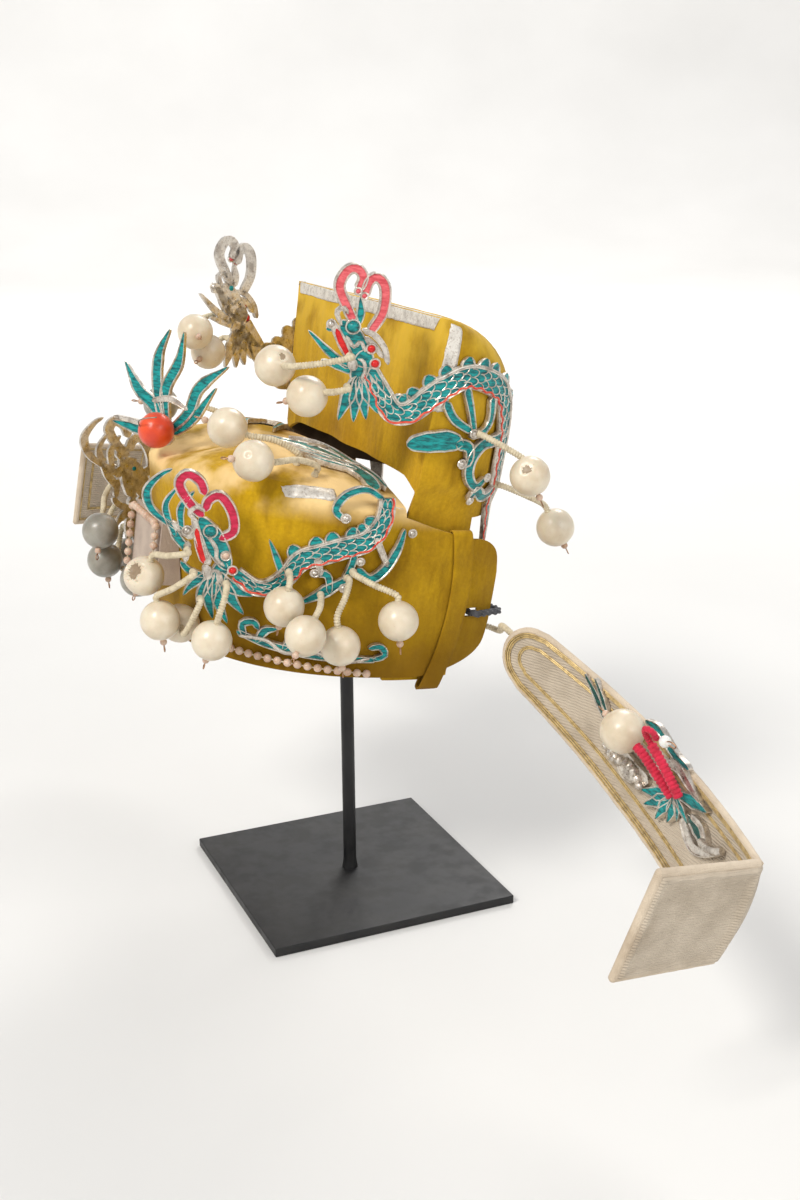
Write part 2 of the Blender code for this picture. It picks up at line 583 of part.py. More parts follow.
def carrier_normal(carrier, a, b, hint):
    step = 0.5 * MM
    along_a = carrier(a + step, b) - carrier(a - step, b)
    along_b = carrier(a, b + step) - carrier(a, b - step)
    normal = along_a.cross(along_b).normalized()
    return normal if normal.dot(hint) > 0 else -normal


# The reach is a carrier's half width, length and height, and what lies on it under a stem.
Carrier = namedtuple("Carrier", "surface scale hint reach cover unit")
CAP_REACH = (CAP_HALF_WIDTH, cap_front(CAP_HEIGHT), CAP_HEIGHT)
CARRIERS = {
    "front": Carrier(front_carrier, CAP_REACH[1:], Vector((1, 0, 0)), CAP_REACH, RELIEF_TOP,
                     FRONT_STROKE_UNIT),
    "rear": Carrier(rear_carrier, (CROWN_DEPTH, CROWN_HEIGHT), Vector((1, 0, 0)),
                    (CROWN_HALF_WIDTH, CROWN_DEPTH, CROWN_HEIGHT), RELIEF_TOP,
                    REAR_STROKE_UNIT),
    "dome": Carrier(dome_carrier, CAP_REACH[:2], Vector((0, 0, 1)), CAP_REACH, GAP,
                    STROKE_UNIT),
}


def on_carrier(carrier, a, b, height):
    """The point at a height above the carrier."""
    return carrier.surface(a, b) + carrier_normal(carrier.surface, a, b, carrier.hint) * height


# Relief

def stroke_mesh(name, stroke, scale, base, thickness, unit=STROKE_UNIT):
    """A band along the stroke's points in the flat; its widths are counted in the unit."""
    points = [Vector((p[0] * scale[0], p[1] * scale[1], 0)) for p in stroke.points]
    turns = [(b - a).angle(c - b) for a, b, c in zip(points, points[1:], points[2:])]
    count = 1 + max(len(stroke.widths) - 1, math.ceil(sum(turns) / STROKE_TURN),
                    math.ceil(path_length(points) / STROKE_STEP))
    path = smooth_path(points, count)
    widths = np.interp(np.linspace(0, 1, count), np.linspace(0, 1, len(stroke.widths)),
                       stroke.widths) * unit
    top = base + thickness + stroke.lift * STROKE_UNIT
    bm = bmesh.new()
    rings = []
    for index, (point, width) in enumerate(zip(path, widths)):
        before = path[max(index - 1, 0)]
        after = path[min(index + 1, count - 1)]
        side = (after - before).normalized().cross(Vector((0, 0, 1))) * (width / 2)
        slope = 0.03 * STROKE_UNIT * index / count
        ring = [bm.verts.new(point + side + Vector((0, 0, base))),
                bm.verts.new(point - side + Vector((0, 0, base))),
                bm.verts.new(point - side + Vector((0, 0, top - slope))),
                bm.verts.new(point + side + Vector((0, 0, top - slope)))]
        rings.append(ring)
    for near, far in zip(rings, rings[1:]):
        for i in range(4):
            bm.faces.new((near[i], near[(i + 1) % 4], far[(i + 1) % 4], far[i]))
    bm.faces.new(reversed(rings[0]))
    bm.faces.new(rings[-1])
    bmesh.ops.recalc_face_normals(bm, faces=bm.faces)
    return mesh_from(bm, name)


def relief(name, strokes, carrier_name, side, look="enamelled_metal"):
    """A cast relief: the strokes united in the flat, then laid on their carrier."""
    carrier = CARRIERS[carrier_name]
    pieces = [stroke_mesh(f"{name}_{key}", stroke, carrier.scale, STANDOFF, RELIEF, carrier.unit)
              for key, stroke in strokes.items()]
    result = fused(name, pieces, look, HEAD)
    for vertex in result.data.vertices:
        a, b, height = vertex.co
        point = on_carrier(carrier, a, b, height)
        vertex.co = (side * point.x, point.y, point.z)
    if outward_volume(result.data) < 0:
        result.data.flip_normals()
    return result


def outward_volume(mesh):
    """Signed volume: negative when the faces point in."""
    mesh.calc_loop_triangles()
    total = 0.0
    for triangle in mesh.loop_triangles:
        a, b, c = (mesh.vertices[i].co for i in triangle.vertices)
        total += a.dot(b.cross(c))
    return total / 6


# Shells

def add_grid_faces(bm, grid):
    """Quads between the rows of a grid of vertices, where a row and the next differ."""
    for low, high in zip(grid, grid[1:]):
        for left in range(len(low) - 1):
            corners = []
            for vertex in (low[left], low[left + 1], high[left + 1], high[left]):
                if vertex is not None and vertex not in corners:
                    corners.append(vertex)
            if len(corners) >= 3:
                bm.faces.new(corners)


def apply_dents(bm, dents, scale):
    """Push the surface in or out round each dent, along its own normals."""
    bm.normal_update()
    moves = []
    for vertex in bm.verts:
        push = 0.0
        for dent in dents:
            centre = Vector((dent.x_share * scale[0], dent.y_share * scale[1],
                             dent.z_share * scale[2]))
            reach = dent.radius * scale[0]
            push += dent.depth * scale[0] * math.exp(-((vertex.co - centre).length / reach) ** 2)
        moves.append(vertex.normal * push)
    for vertex, move in zip(bm.verts, moves):
        vertex.co += move


def add_shell(item, thickness):
    shell = item.modifiers.new("Shell", "SOLIDIFY")
    shell.thickness = thickness
    shell.offset = -1
    shell.use_even_offset = True
    shell.use_quality_normals = True
    return shell


def add_cuts(item, cutters):
    for tool in cutters:
        cut = item.modifiers.new(tool.name, "BOOLEAN")
        cut.operation = "DIFFERENCE"
        cut.object = tool
        cut.solver = "EXACT"


def tab_edges(y):
    """Bottom and top of the tab at a distance behind the slot."""
    share = (y + SLOT_OFFSET) / TAB_LENGTH
    shares = [0.0] + [row.length_share for row in TAB_ROWS]
    top = [1 - SHOULDER_RADIUS / CAP_HEIGHT] + [row.top_share for row in TAB_ROWS]
    bottom = [0.0] + [row.bottom_share for row in TAB_ROWS]
    return (float(np.interp(share, shares, bottom)) * CAP_HEIGHT,
            float(np.interp(share, shares, top)) * CAP_HEIGHT)


def cap_wall_column(angle):
    """Points up the front wall at an angle from straight ahead."""
    column = []
    for share in WALL_SHARES:
        z = share * (CAP_HEIGHT - SHOULDER_RADIUS)
        x, along = plan_point(angle, cap_half_width(z), cap_front(z), CAP_ROUNDNESS)
        column.append(Vector((x, -SLOT_OFFSET - along, z)))
    return column


def cap_dome_column(angle):
    """Points from the shoulder to the dome's pole, which lies on the slot edge."""
    half_width, front = cap_half_width(CAP_HEIGHT), cap_front(CAP_HEIGHT)
    x, along = plan_point(angle, half_width, front, CAP_ROUNDNESS)
    radius = math.hypot(x, along)
    column = []
    for turn in (30, 60, 90):
        inset = SHOULDER_RADIUS * (1 - math.cos(math.radians(turn)))
        share = 1 - inset / radius
        rise = SHOULDER_RADIUS * (1 - math.sin(math.radians(turn)))
        lift = dome_height(share * x, -SLOT_OFFSET - share * along) - CAP_HEIGHT
        column.append(Vector((share * x, -SLOT_OFFSET - share * along,
                              CAP_HEIGHT - rise + lift * turn / 90)))
    for row in DOME_ROWS:
        px, py = row.plan_share * x, -SLOT_OFFSET - row.plan_share * along
        column.append(Vector((px, py, dome_height(px, py))))
    return column


def tab_column(side, row):
    y = row.length_share * TAB_LENGTH - SLOT_OFFSET
    bottom, top = row.bottom_share * CAP_HEIGHT, row.top_share * CAP_HEIGHT
    column = []
    for share in WALL_SHARES:
        z = bottom + share * (top - bottom)
        column.append(Vector((side * cap_side(y, z), y, z)))
    return column


def front_cap():
    bm = bmesh.new()
    angles = [math.radians(a) for a in np.linspace(-90, 90, 23)]
    walls = [[bm.verts.new(p) for p in cap_wall_column(a)] for a in angles]
    domes = [[bm.verts.new(p) for p in cap_dome_column(a)] for a in angles]
    right_tab = [[bm.verts.new(p) for p in tab_column(-1, row)] for row in reversed(TAB_ROWS)]
    left_tab = [[bm.verts.new(p) for p in tab_column(1, row)] for row in TAB_ROWS]
    pole = bm.verts.new((0, -SLOT_OFFSET, dome_height(0, -SLOT_OFFSET)))
    columns = right_tab + walls + left_tab
    add_grid_faces(bm, [[column[i] for column in columns] for i in range(len(WALL_SHARES))])
    rows = len(domes[0])
    add_grid_faces(bm, [[wall[-1] for wall in walls]]
                   + [[dome[i] for dome in domes] for i in range(rows)]
                   + [[pole] * len(domes)])
    apply_dents(bm, CAP_DENTS, (CAP_HALF_WIDTH, cap_front(CAP_HEIGHT), CAP_HEIGHT))
    item = new_object("front_cap", mesh_from(bm, "front_cap"), "suede", HEAD)
    item.data.shade_smooth()
    add_shell(item, SUEDE)
    add_cuts(item, [cord_slit(side) for side in (1, -1)])
    return item


def cord_slit_place():
    """y and z of the cord's slits in the tabs."""
    return 0.767 * TAB_LENGTH - SLOT_OFFSET, 0.39 * CAP_HEIGHT


def cord_slit(side):
    y, z = cord_slit_place()
    x = cap_side(y, z) - SUEDE / 2
    matrix = Matrix.Translation((side * x, y, z)) @ Matrix.Rotation(-side * 0.3, 4, "Z")
    size = (5 * SUEDE, CORD_SLIT_LENGTH, CORD_SLIT)
    return cutter(f"cord_slit_{side}", box_mesh("cord_slit", size, matrix), HEAD)


def panel_bottom(x):
    """Height of the front panel's lower edge."""
    share = min(abs(x) / (0.925 * CROWN_HALF_WIDTH), 1.0)
    lift = np.interp(share, [row.width_share for row in PANEL_ARCH],
                     [row.lift_share for row in PANEL_ARCH])
    return CAP_HEIGHT + float(lift) * PANEL_LIFT


def hood_levels():
    """Heights of the hood's rows, from the back arch to the roof's start, and up the roof."""
    start = 0.75 * CROWN_HEIGHT
    arch = CAP_HEIGHT - ARCH_DROP
    side = panel_bottom(CROWN_HALF_WIDTH)
    walls = [arch] + list(np.linspace(side, start, 3))
    roof = [start + (CROWN_HEIGHT - start) * math.sin(math.radians(a)) ** (2 / 2.2)
            for a in (22, 45, 68)]
    return walls + roof


def crown_point(angle, z):
    x, along = plan_point(angle, crown_half_width(z), CROWN_DEPTH * roof_share(z),
                          CROWN_ROUNDNESS)
    return Vector((x, along, z))


def rear_crown():
    bm = bmesh.new()
    degrees = range(-90, 91, 10)
    angles = [math.radians(a) for a in degrees]
    levels = hood_levels()
    hood = [[bm.verts.new(crown_point(a, z)) for a in angles] for z in levels]
    top = [bm.verts.new(crown_point(a, CROWN_HEIGHT)) for a in angles]
    add_grid_faces(bm, hood + [top])
    # The side walls below the back arch
    for ends in ((0, 1, 2, 3), (15, 16, 17, 18)):
        lower = []
        for share in (0.0, 0.33, 0.66):
            z = -CROWN_DROP + share * (levels[0] + CROWN_DROP)
            lower.append([bm.verts.new(crown_point(angles[i], z)) for i in ends])
        add_grid_faces(bm, lower + [[hood[0][i] for i in ends]])
    # The gathered front panel, from its arched lower edge to the crown's top
    panel = []
    for row, level in enumerate(levels[1:]):
        height = (level - levels[1]) / (CROWN_HEIGHT - levels[1])
        vertices = []
        for column, angle in enumerate(angles):
            if column in (0, len(angles) - 1):
                vertices.append(hood[row + 1][column])
                continue
            across = plan_point(angle, 1.0, 1.0, CROWN_ROUNDNESS)[0]
            z_low = panel_bottom(across * crown_half_width(levels[1]))
            z = z_low + height * (CROWN_HEIGHT - z_low)
            fold = 0.5 + 0.5 * math.cos(2 * math.pi * GATHER_COUNT * across / 2)
            depth = GATHER_DEPTH * (1 - height) ** 0.5 * (1 - across ** 4) * fold
            vertices.append(bm.verts.new((across * crown_half_width(z), -depth, z)))
        panel.append(vertices)
    face_top = [top[0]]
    for angle in angles[1:-1]:
        across = plan_point(angle, 1.0, 1.0, CROWN_ROUNDNESS)[0]
        face_top.append(bm.verts.new((across * CROWN_HALF_WIDTH, 0, CROWN_HEIGHT)))
    face_top.append(top[-1])
    panel.append(face_top)
    add_grid_faces(bm, [top, face_top])
    add_grid_faces(bm, [list(reversed(row)) for row in panel])
    bmesh.ops.recalc_face_normals(bm, faces=bm.faces)
    apply_dents(bm, CROWN_DENTS, (CROWN_HALF_WIDTH, CROWN_DEPTH, CROWN_HEIGHT))
    item = new_object("rear_crown", mesh_from(bm, "rear_crown"), "suede", HEAD)
    item.data.shade_smooth()
    add_shell(item, SUEDE)
    return item


# Stand

def stand():
    bm = bmesh.new()
    size = (PLATE_SIDE, PLATE_SIDE, PLATE_THICKNESS)
    bmesh.ops.create_cube(bm, size=1.0, matrix=Matrix.Diagonal((*size, 1.0)))
    base = new_object("stand_base", mesh_from(bm, "stand_base"), "black_steel")
    base.location.z = PLATE_THICKNESS / 2
    edge = base.modifiers.new("Edge", "BEVEL")
    edge.width = PLATE_EDGE
    edge.segments = 1
    bar_centre = HEAD_MATRIX @ Vector((0, BAR_SETBACK, BAR_HEIGHT))
    reach = crown_side(BAR_SETBACK, BAR_HEIGHT) - SUEDE - 4 * GAP
    post = rod_mesh("post", Vector((0, bar_centre.y, PLATE_THICKNESS + GAP)),
                    Vector((0, bar_centre.y, bar_centre.z)), POST_DIAMETER)
    bar = rod_mesh("bar", bar_centre - Vector((reach, 0, 0)), bar_centre + Vector((reach, 0, 0)),
                   BAR_DIAMETER)
    fused("stand_post", [post, bar], "black_steel", None)


def rod_mesh(name, start, end, diameter):
    bm = bmesh.new()
    axis = end - start
    turn = Vector((0, 0, 1)).rotation_difference(axis).to_matrix().to_4x4()
    bmesh.ops.create_cone(bm, cap_ends=True, segments=20, radius1=diameter / 2,
                          radius2=diameter / 2, depth=axis.length,
                          matrix=Matrix.Translation((start + end) / 2) @ turn)
    return mesh_from(bm, name)


# Straps and cord

def strap_centre(z):
    """y of the strap's middle: it leans forward towards the rim."""
    share = z / CAP_HEIGHT
    return TAB_LENGTH * (0.435 + 0.508 * share - 0.503 * share ** 2)


def strap_row(side, offset, share):
    """Points across the strap, at a share of its height and an offset from the tab's face."""
    low = -STRAP_DROP + STRAP_THICKNESS / 2
    crown_line = strap_centre(0.83 * CAP_HEIGHT)
    edges = (-0.5, 0.0, 0.5)
    top = max(tab_edges(crown_line + edge * STRAP_WIDTH)[1] for edge in edges)
    z = low + share * (top + STRAP_THICKNESS / 2 + STRAP_EASE - low)
    row = []
    for edge in edges:
        y = strap_centre(z) + edge * STRAP_WIDTH
        row.append(Vector((side * (cap_side(y, max(z, 0)) + offset), y, z)))
    return row


def loop_strap(side):
    """A closed loop round the tab: up its outside, over its top, down between the walls."""
    out = STRAP_THICKNESS / 2 + STRAP_EASE
    heights = (0.03, 0.25, 0.5, 0.75, 0.965)
    crest = [(out / 2, 1.0), (-SUEDE - out / 2, 1.0)]
    places = ([(out, share) for share in heights] + crest
              + [(-SUEDE - out, share) for share in reversed(heights)] + [(-SUEDE / 2, 0.0)])
    bm = bmesh.new()
    rows = [[bm.verts.new(p) for p in strap_row(side, *place)] for place in places]
    add_grid_faces(bm, rows + rows[:1])
    bmesh.ops.recalc_face_normals(bm, faces=bm.faces)
    name = "loop_strap_left" if side > 0 else "loop_strap_right"
    item = new_object(name, mesh_from(bm, name), "suede", HEAD)
    shell = add_shell(item, STRAP_THICKNESS)
    shell.offset = 0
    return item


def tie_cord():
    """One cord: out through each tab's slit, round the tab's end and across the open back."""
    y, z = cord_slit_place()
    radius = CORD_DIAMETER / 2
    end = TAB_LENGTH - SLOT_OFFSET
    out = SUEDE / 2 + radius + 2 * GAP
    half = [
        (cap_side(y, z) - SUEDE - 6 * MM, y - 1.2 * MM, z),
        (cap_side(y, z) - SUEDE / 2, y, z),
        (cap_side(y, z) + 3.0 * MM, y + 3.4 * MM, z),
        (cap_side(end, z) + SUEDE / 2 + out, end - 3 * MM, z),
        (cap_side(end, z) + SUEDE / 2, end + out + 1 * MM, z),
        (cap_side(end, z) - SUEDE - out - 4 * MM, end + out + 1.5 * MM, z - 1 * MM),
        (0.55 * CAP_HALF_WIDTH, end + 9 * MM, z - 6 * MM),
        (0.25 * CAP_HALF_WIDTH, end + 12 * MM, z - 11 * MM),
    ]
    route = half + [(0, end + 13 * MM, z - 12.5 * MM)] + [(-p[0], p[1], p[2])
                                                          for p in reversed(half)]
    path = smooth_path(route, 26)
    return new_object("tie_cord", tube_mesh("tie_cord", path, CORD_DIAMETER), "charcoal", HEAD)


# Brow plate, beads and flame

def forehead_plate():
    """A small padded plate whose back follows the brow."""
    bm = bmesh.new()
    columns = [BROW_HALF_WIDTH * s for s in (-1, -0.6, -0.2, 0.2, 0.6, 1)]
    levels = [BROW_LOW + (BROW_HIGH - BROW_LOW) * s for s in (0, 0.5, 1)]
    face = cap_brow(0, BROW_HIGH) - BROW_DEPTH
    front = [[bm.verts.new((x, face, z)) for x in columns] for z in levels]
    back = [[bm.verts.new((x, cap_brow(x, z) - GAP, z)) for x in columns] for z in levels]
    add_grid_faces(bm, front)
    add_grid_faces(bm, [list(reversed(row)) for row in back])
    rim_front = front[0] + [row[-1] for row in front[1:-1]] + front[-1][::-1] + [
        row[0] for row in front[-2:0:-1]]
    rim_back = back[0] + [row[-1] for row in back[1:-1]] + back[-1][::-1] + [
        row[0] for row in back[-2:0:-1]]
    add_grid_faces(bm, [rim_back + rim_back[:1], rim_front + rim_front[:1]])
    bmesh.ops.recalc_face_normals(bm, faces=bm.faces)
    new_object("forehead_plate", mesh_from(bm, "forehead_plate"), "brow_cloth", HEAD)
    y = face - GAP - BEAD_DIAMETER / 2
    inset = BROW_HALF_WIDTH - BEAD_DIAMETER / 2
    high = BROW_HIGH - BEAD_DIAMETER / 2
    corner = BEAD_DIAMETER / 2
    route = [(-inset, y, BROW_LOW), (-inset, y, high - corner), (-inset + corner, y, high),
             (inset - corner, y, high), (inset, y, high - corner), (inset, y, BROW_LOW)]
    new_object("forehead_beads", tube_mesh("forehead_beads", route, BEAD_DIAMETER), "pearl", HEAD)


def rim_beads(side):
    """A string of beads low on the cap's side, made plainly as a round rod."""
    name = "rim_beads_left" if side > 0 else "rim_beads_right"
    carrier = CARRIERS["front"]
    radius = BEAD_DIAMETER / 2
    route = []
    for share in np.linspace(0, 1, 8):
        y = (-0.80 + 0.68 * share) * cap_front(CAP_HEIGHT)
        z = (0.085 - 0.05 * share) * CAP_HEIGHT
        wall = Vector((cap_side(y, z), y, z))
        normal = carrier_normal(lambda a, b: Vector((cap_side(a, b), a, b)), y, z, carrier.hint)
        point = wall + normal * (radius + 2 * GAP)
        route.append((side * point.x, point.y, point.z))
    return new_object(name, tube_mesh(name, route, BEAD_DIAMETER), "pearl", HEAD)


def fire_ball_centre():
    """The ball stands just behind the brow, on the middle line."""
    reach = FIRE_BALL_RADIUS + flame_reach()
    return Vector((0, cap_brow(0, CAP_HEIGHT) + FLAME_SETBACK - reach, 1.18 * CAP_HEIGHT))


def flame_reach():
    """From the ball's surface to the back of the flame."""
    return FLAME_THICKNESS + 0.5 * MM + 2 * GAP


def flame_point(across, height, depth):
    """A point of the flame, which is turned round the ball: depth is from its back to the ball."""
    reach = FIRE_BALL_RADIUS + flame_reach() - depth
    return (across * math.cos(FLAME_TURN) - reach * math.sin(FLAME_TURN),
            fire_ball_centre().y + across * math.sin(FLAME_TURN) + reach * math.cos(FLAME_TURN),
            height)


def flame_leaves():
    """Upright leaves behind the fire ball, with a foot on the dome."""
    name = "flame_leaves"
    scale = (CAP_HALF_WIDTH, CAP_HEIGHT)
    pieces = [stroke_mesh(f"{name}_{key}", stroke, scale, 0.0, FLAME_THICKNESS)
              for key, stroke in FLAME.items()]
    item = fused(name, pieces, "enamelled_metal", HEAD)
    for vertex in item.data.vertices:
        vertex.co = flame_point(*vertex.co)
    if outward_volume(item.data) < 0:
        item.data.flip_normals()
    return item


def fire_ball():
    mesh = ball_mesh("fire_ball", fire_ball_centre(), FIRE_BALL_RADIUS, 14, 8)
    item = new_object("fire_ball", mesh, "fire_red", HEAD)
    item.data.shade_smooth()
    return item


# Pearls on their wrapped stems

def pearl(name, row, side):
    """A pearl and the wrapped stem that carries it, as one body."""
    carrier = CARRIERS[row.carrier]
    a, b = row.foot[0] * carrier.scale[0], row.foot[1] * carrier.scale[1]
    surface = carrier.cover + GAP
    foot = on_carrier(carrier, a, b, surface)
    lead = on_carrier(carrier, a, b, surface + 1.5 * STEM_DIAMETER)
    tip = Vector([row.tip[i] * carrier.reach[i] for i in range(3)])
    centre = Vector([row.centre[i] * carrier.reach[i] for i in range(3)])
    stem_path = [foot, *smooth_path([lead, lead.lerp(tip, 0.5) + (lead - foot) * 0.5, tip], 3)]
    stem_path.append(centre)
    mirror = Vector((side, 1, 1))
    stem = tube_mesh(name + "_stem", [p * mirror for p in stem_path], STEM_DIAMETER, 1)
    ball = ball_mesh(name + "_ball", centre * mirror, PEARL_RADIUS)
    item = fused(name, [ball, stem], "pearl", HEAD)
    item.data.shade_smooth()
    return item


# Wings

WingFrame = namedtuple("WingFrame", "centre along up normal width")


def wing_frames(pose, count):
    """Frames down the arm, from the root to the fold, for a wing on the wearer's left."""
    scale = (CAP_HALF_WIDTH, cap_front(CAP_HEIGHT), CAP_HEIGHT)
    centre = Vector([pose.root[i] * scale[i] for i in range(3)])
    along = Vector((math.cos(pose.pitch) * math.cos(pose.yaw),
                    math.cos(pose.pitch) * math.sin(pose.yaw), -math.sin(pose.pitch)))
    up = along.cross(Vector((0, 0, 1))).cross(along).normalized()
    up = Matrix.Rotation(pose.roll, 3, along) @ up
    normal = up.cross(along)
    frames = []
    for index in range(count + 1):
        share = index / count
        width = np.interp(share, (0, 0.5, 1),
                          (WING_ROOT_WIDTH, WING_MIDDLE_WIDTH, WING_END_WIDTH))
        frames.append(WingFrame(centre, along, up, normal, float(width)))
        turn = (Matrix.Rotation(pose.curl / count, 3, up)
                @ Matrix.Rotation(pose.droop / count, 3, normal))
        following = turn @ along
        centre = centre + (along + following).normalized() * (WING_LENGTH / count)
        along, up, normal = following, turn @ up, turn @ normal
    return frames


def wing(pose):
    """A felt strip, cupped along its arm and folded forward at its end."""
    side = 1 if pose.side == "left" else -1
    name = f"wing_{pose.side}"
    arm = wing_frames(pose, WING_STEPS)
    across = (-0.5, -0.27, 0.0, 0.27, 0.5)
    bm = bmesh.new()
    rows = []
    end_round = [0.45, 0.85]
    for index, frame in enumerate(arm):
        trim = end_round[index] if index < len(end_round) else 1.0
        row = []
        for share in across:
            cup = WING_CUP * (1 - (2 * share) ** 2) * min(index, 3) / 3
            row.append(frame.centre + frame.up * share * frame.width * trim + frame.normal * cup)
        rows.append(row)
    last = arm[-1]
    fold = Matrix.Rotation(pose.fold, 3, last.up) @ last.along
    outward = last.up.cross(fold)
    for share_along in (0.08, 0.4, 0.7, 1.0):
        width = WING_END_WIDTH + (PANEL_WIDTH - WING_END_WIDTH) * share_along
        row = []
        for share in across:
            bow = 0.6 * WING_CUP * (1 - (2 * share) ** 2) * (1 - share_along)
            row.append(last.centre + fold * PANEL_LENGTH * share_along
                       + last.up * share * width + outward * bow)
        rows.append(row)
    mirror = Vector((side, 1, 1))
    grid = [[bm.verts.new(p * mirror) for p in row] for row in rows]
    add_grid_faces(bm, grid)
    item = new_object(name, mesh_from(bm, name), "felt", HEAD)
    shell = add_shell(item, WING_THICKNESS)
    shell.offset = 0
    item.data.shade_smooth()
    return item


def wing_point(arm, distance, across, lift):
    """A point over the wing's inner face: along the arm, across it, and off its middle."""
    position = distance / WING_LENGTH * (len(arm) - 1)
    index = min(int(position), len(arm) - 2)
    near, far = arm[index], arm[index + 1]
    blend = position - index
    half_width = (near.width + (far.width - near.width) * blend) / 2
    cup = WING_CUP * max(1 - (across / half_width) ** 2, 0.0)
    return (near.centre.lerp(far.centre, blend) + near.up.lerp(far.up, blend) * across
            + near.normal.lerp(far.normal, blend) * (cup - lift))


def wing_dragon(pose):
    """The small cast dragon on the wing's inner face."""
    side = 1 if pose.side == "left" else -1
    name = f"wing_dragon_{pose.side}"
    scale = (WING_LENGTH, WING_END_WIDTH / 2)
    pieces = [stroke_mesh(f"{name}_{key}", stroke, scale, WING_ORNAMENT_LIFT, RELIEF)
              for key, stroke in WING_DRAGON.items()]
    item = fused(name, pieces, "enamelled_metal", HEAD)
    arm = wing_frames(pose, WING_STEPS)
    for vertex in item.data.vertices:
        point = wing_point(arm, *vertex.co)
        vertex.co = (side * point.x, point.y, point.z)
    if outward_volume(item.data) < 0:
        item.data.flip_normals()


def wing_pearl(pose):
    """The wing's pearl and the two wrapped stems that stand off the small dragon."""
    arm = wing_frames(pose, WING_STEPS)
    mirror = Vector((1 if pose.side == "left" else -1, 1, 1))

    def place(along, across, lift):
        return wing_point(arm, along * WING_LENGTH, across * WING_END_WIDTH / 2,
                          lift * STROKE_UNIT) * mirror

    name = f"wing_pearl_{pose.side}"
    centre = place(*WING_PEARL_CENTRE)
    pieces = [ball_mesh(name + "_ball", centre, WING_PEARL_RADIUS)]
    for index, stem in enumerate(WING_STEMS):
        path = [place(*point) for point in stem]
        if index == 0:
            path.append(centre)
        pieces.append(tube_mesh(f"{name}_stem_{index}", path, 1.2 * STEM_DIAMETER, 1))
    joint = [place(*WING_STEMS[0][0]), place(*WING_STEMS[1][0])]
    pieces.append(tube_mesh(name + "_joint", joint, STEM_DIAMETER, 1))
    item = fused(name, pieces, "pearl", HEAD)
    item.data.shade_smooth()


def wing_stem(pose):
    """A wrapped stem from inside the tab's end, out to the back of the wing's root."""
    side = 1 if pose.side == "left" else -1
    name = f"wing_stem_{pose.side}"
    end = TAB_LENGTH - SLOT_OFFSET
    z = 0.27 * CAP_HEIGHT
    y = end - 9 * MM
    radius = STEM_DIAMETER / 2
    root = wing_frames(pose, WING_STEPS)
    behind = WING_THICKNESS / 2 + radius + GAP
    approach = root[0].centre + root[0].normal * (behind + 3 * MM) - root[0].along * 8 * MM
    seat = root[0].centre.lerp(root[1].centre, 0.7) + root[0].normal * (behind + 0.22 * WING_CUP)
    route = [
        Vector((cap_side(y, z) - SUEDE - radius - 3 * GAP, y, z)),
        Vector((cap_side(end, z) - SUEDE - radius - 3 * GAP, end + 2 * MM, z)),
        Vector((cap_side(end, z) + 5 * MM, end + 6 * MM, z + 0.5 * MM)),
        approach,
        seat,
    ]
    mirror = Vector((side, 1, 1))
    path = smooth_path([p * mirror for p in route], 9)
    return new_object(name, tube_mesh(name, path, STEM_DIAMETER), "wrapped_cord", HEAD)


def head_frame():
    """The empty that tips the headdress back on its stand."""
    empty = bpy.data.objects.new("headdress_frame", None)
    PARTS.objects.link(empty)
    empty.location = (0, -HEAD_FORWARD, RIM_HEIGHT)
    empty.rotation_euler = Euler((-TILT, 0, 0))
    bpy.context.view_layer.update()
    return empty, empty.matrix_world.copy()


HEAD, HEAD_MATRIX = head_frame()


def build():
    stand()
    front_cap()
    rear_crown()
    tie_cord()
    forehead_plate()
    flame_leaves()
    fire_ball()
    for side, word in ((1, "left"), (-1, "right")):
        loop_strap(side)
        rim_beads(side)
        relief(f"front_dragon_{word}", FRONT_DRAGON, "front", side)
        relief(f"rear_dragon_{word}", REAR_DRAGON, "rear", side)
        relief(f"front_dragon_tail_{word}", DRAGON_TAIL, "dome", side)
        relief(f"rim_trim_{word}", RIM_TRIM, "front", side)
        for name, row in PEARLS.items():
            if row.sides in ("both", word):
                pearl(f"pearl_{name}_{word}", row, side)
    for pose in WINGS:
        wing(pose)
        wing_stem(pose)
        wing_dragon(pose)
        wing_pearl(pose)


build()
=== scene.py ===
"""The looks of a Chinese opera headdress on a plain display stand.

Lengths are metres. The headdress is modelled in a frame of its own, whose plane z = 0 is the
cap's rim: it faces -Y, the wearer's left is +X, and HEAD_MATRIX tips it back on the stand.
"""
import math
from collections import namedtuple

import bmesh
import bpy
import numpy as np
from mathutils import Euler, Matrix, Vector, noise


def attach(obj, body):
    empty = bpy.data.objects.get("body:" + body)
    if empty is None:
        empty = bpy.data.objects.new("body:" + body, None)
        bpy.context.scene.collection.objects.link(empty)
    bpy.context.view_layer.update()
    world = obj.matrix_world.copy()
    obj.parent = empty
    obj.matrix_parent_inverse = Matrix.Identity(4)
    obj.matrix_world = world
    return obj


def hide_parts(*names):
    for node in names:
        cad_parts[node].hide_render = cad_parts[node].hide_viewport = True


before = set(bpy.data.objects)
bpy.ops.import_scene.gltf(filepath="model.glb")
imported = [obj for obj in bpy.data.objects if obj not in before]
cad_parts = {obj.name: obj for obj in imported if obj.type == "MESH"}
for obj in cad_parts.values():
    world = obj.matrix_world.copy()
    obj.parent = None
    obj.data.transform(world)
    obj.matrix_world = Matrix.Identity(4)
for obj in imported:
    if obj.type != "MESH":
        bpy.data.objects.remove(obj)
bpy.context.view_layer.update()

MM = 0.001
BODY = "root"

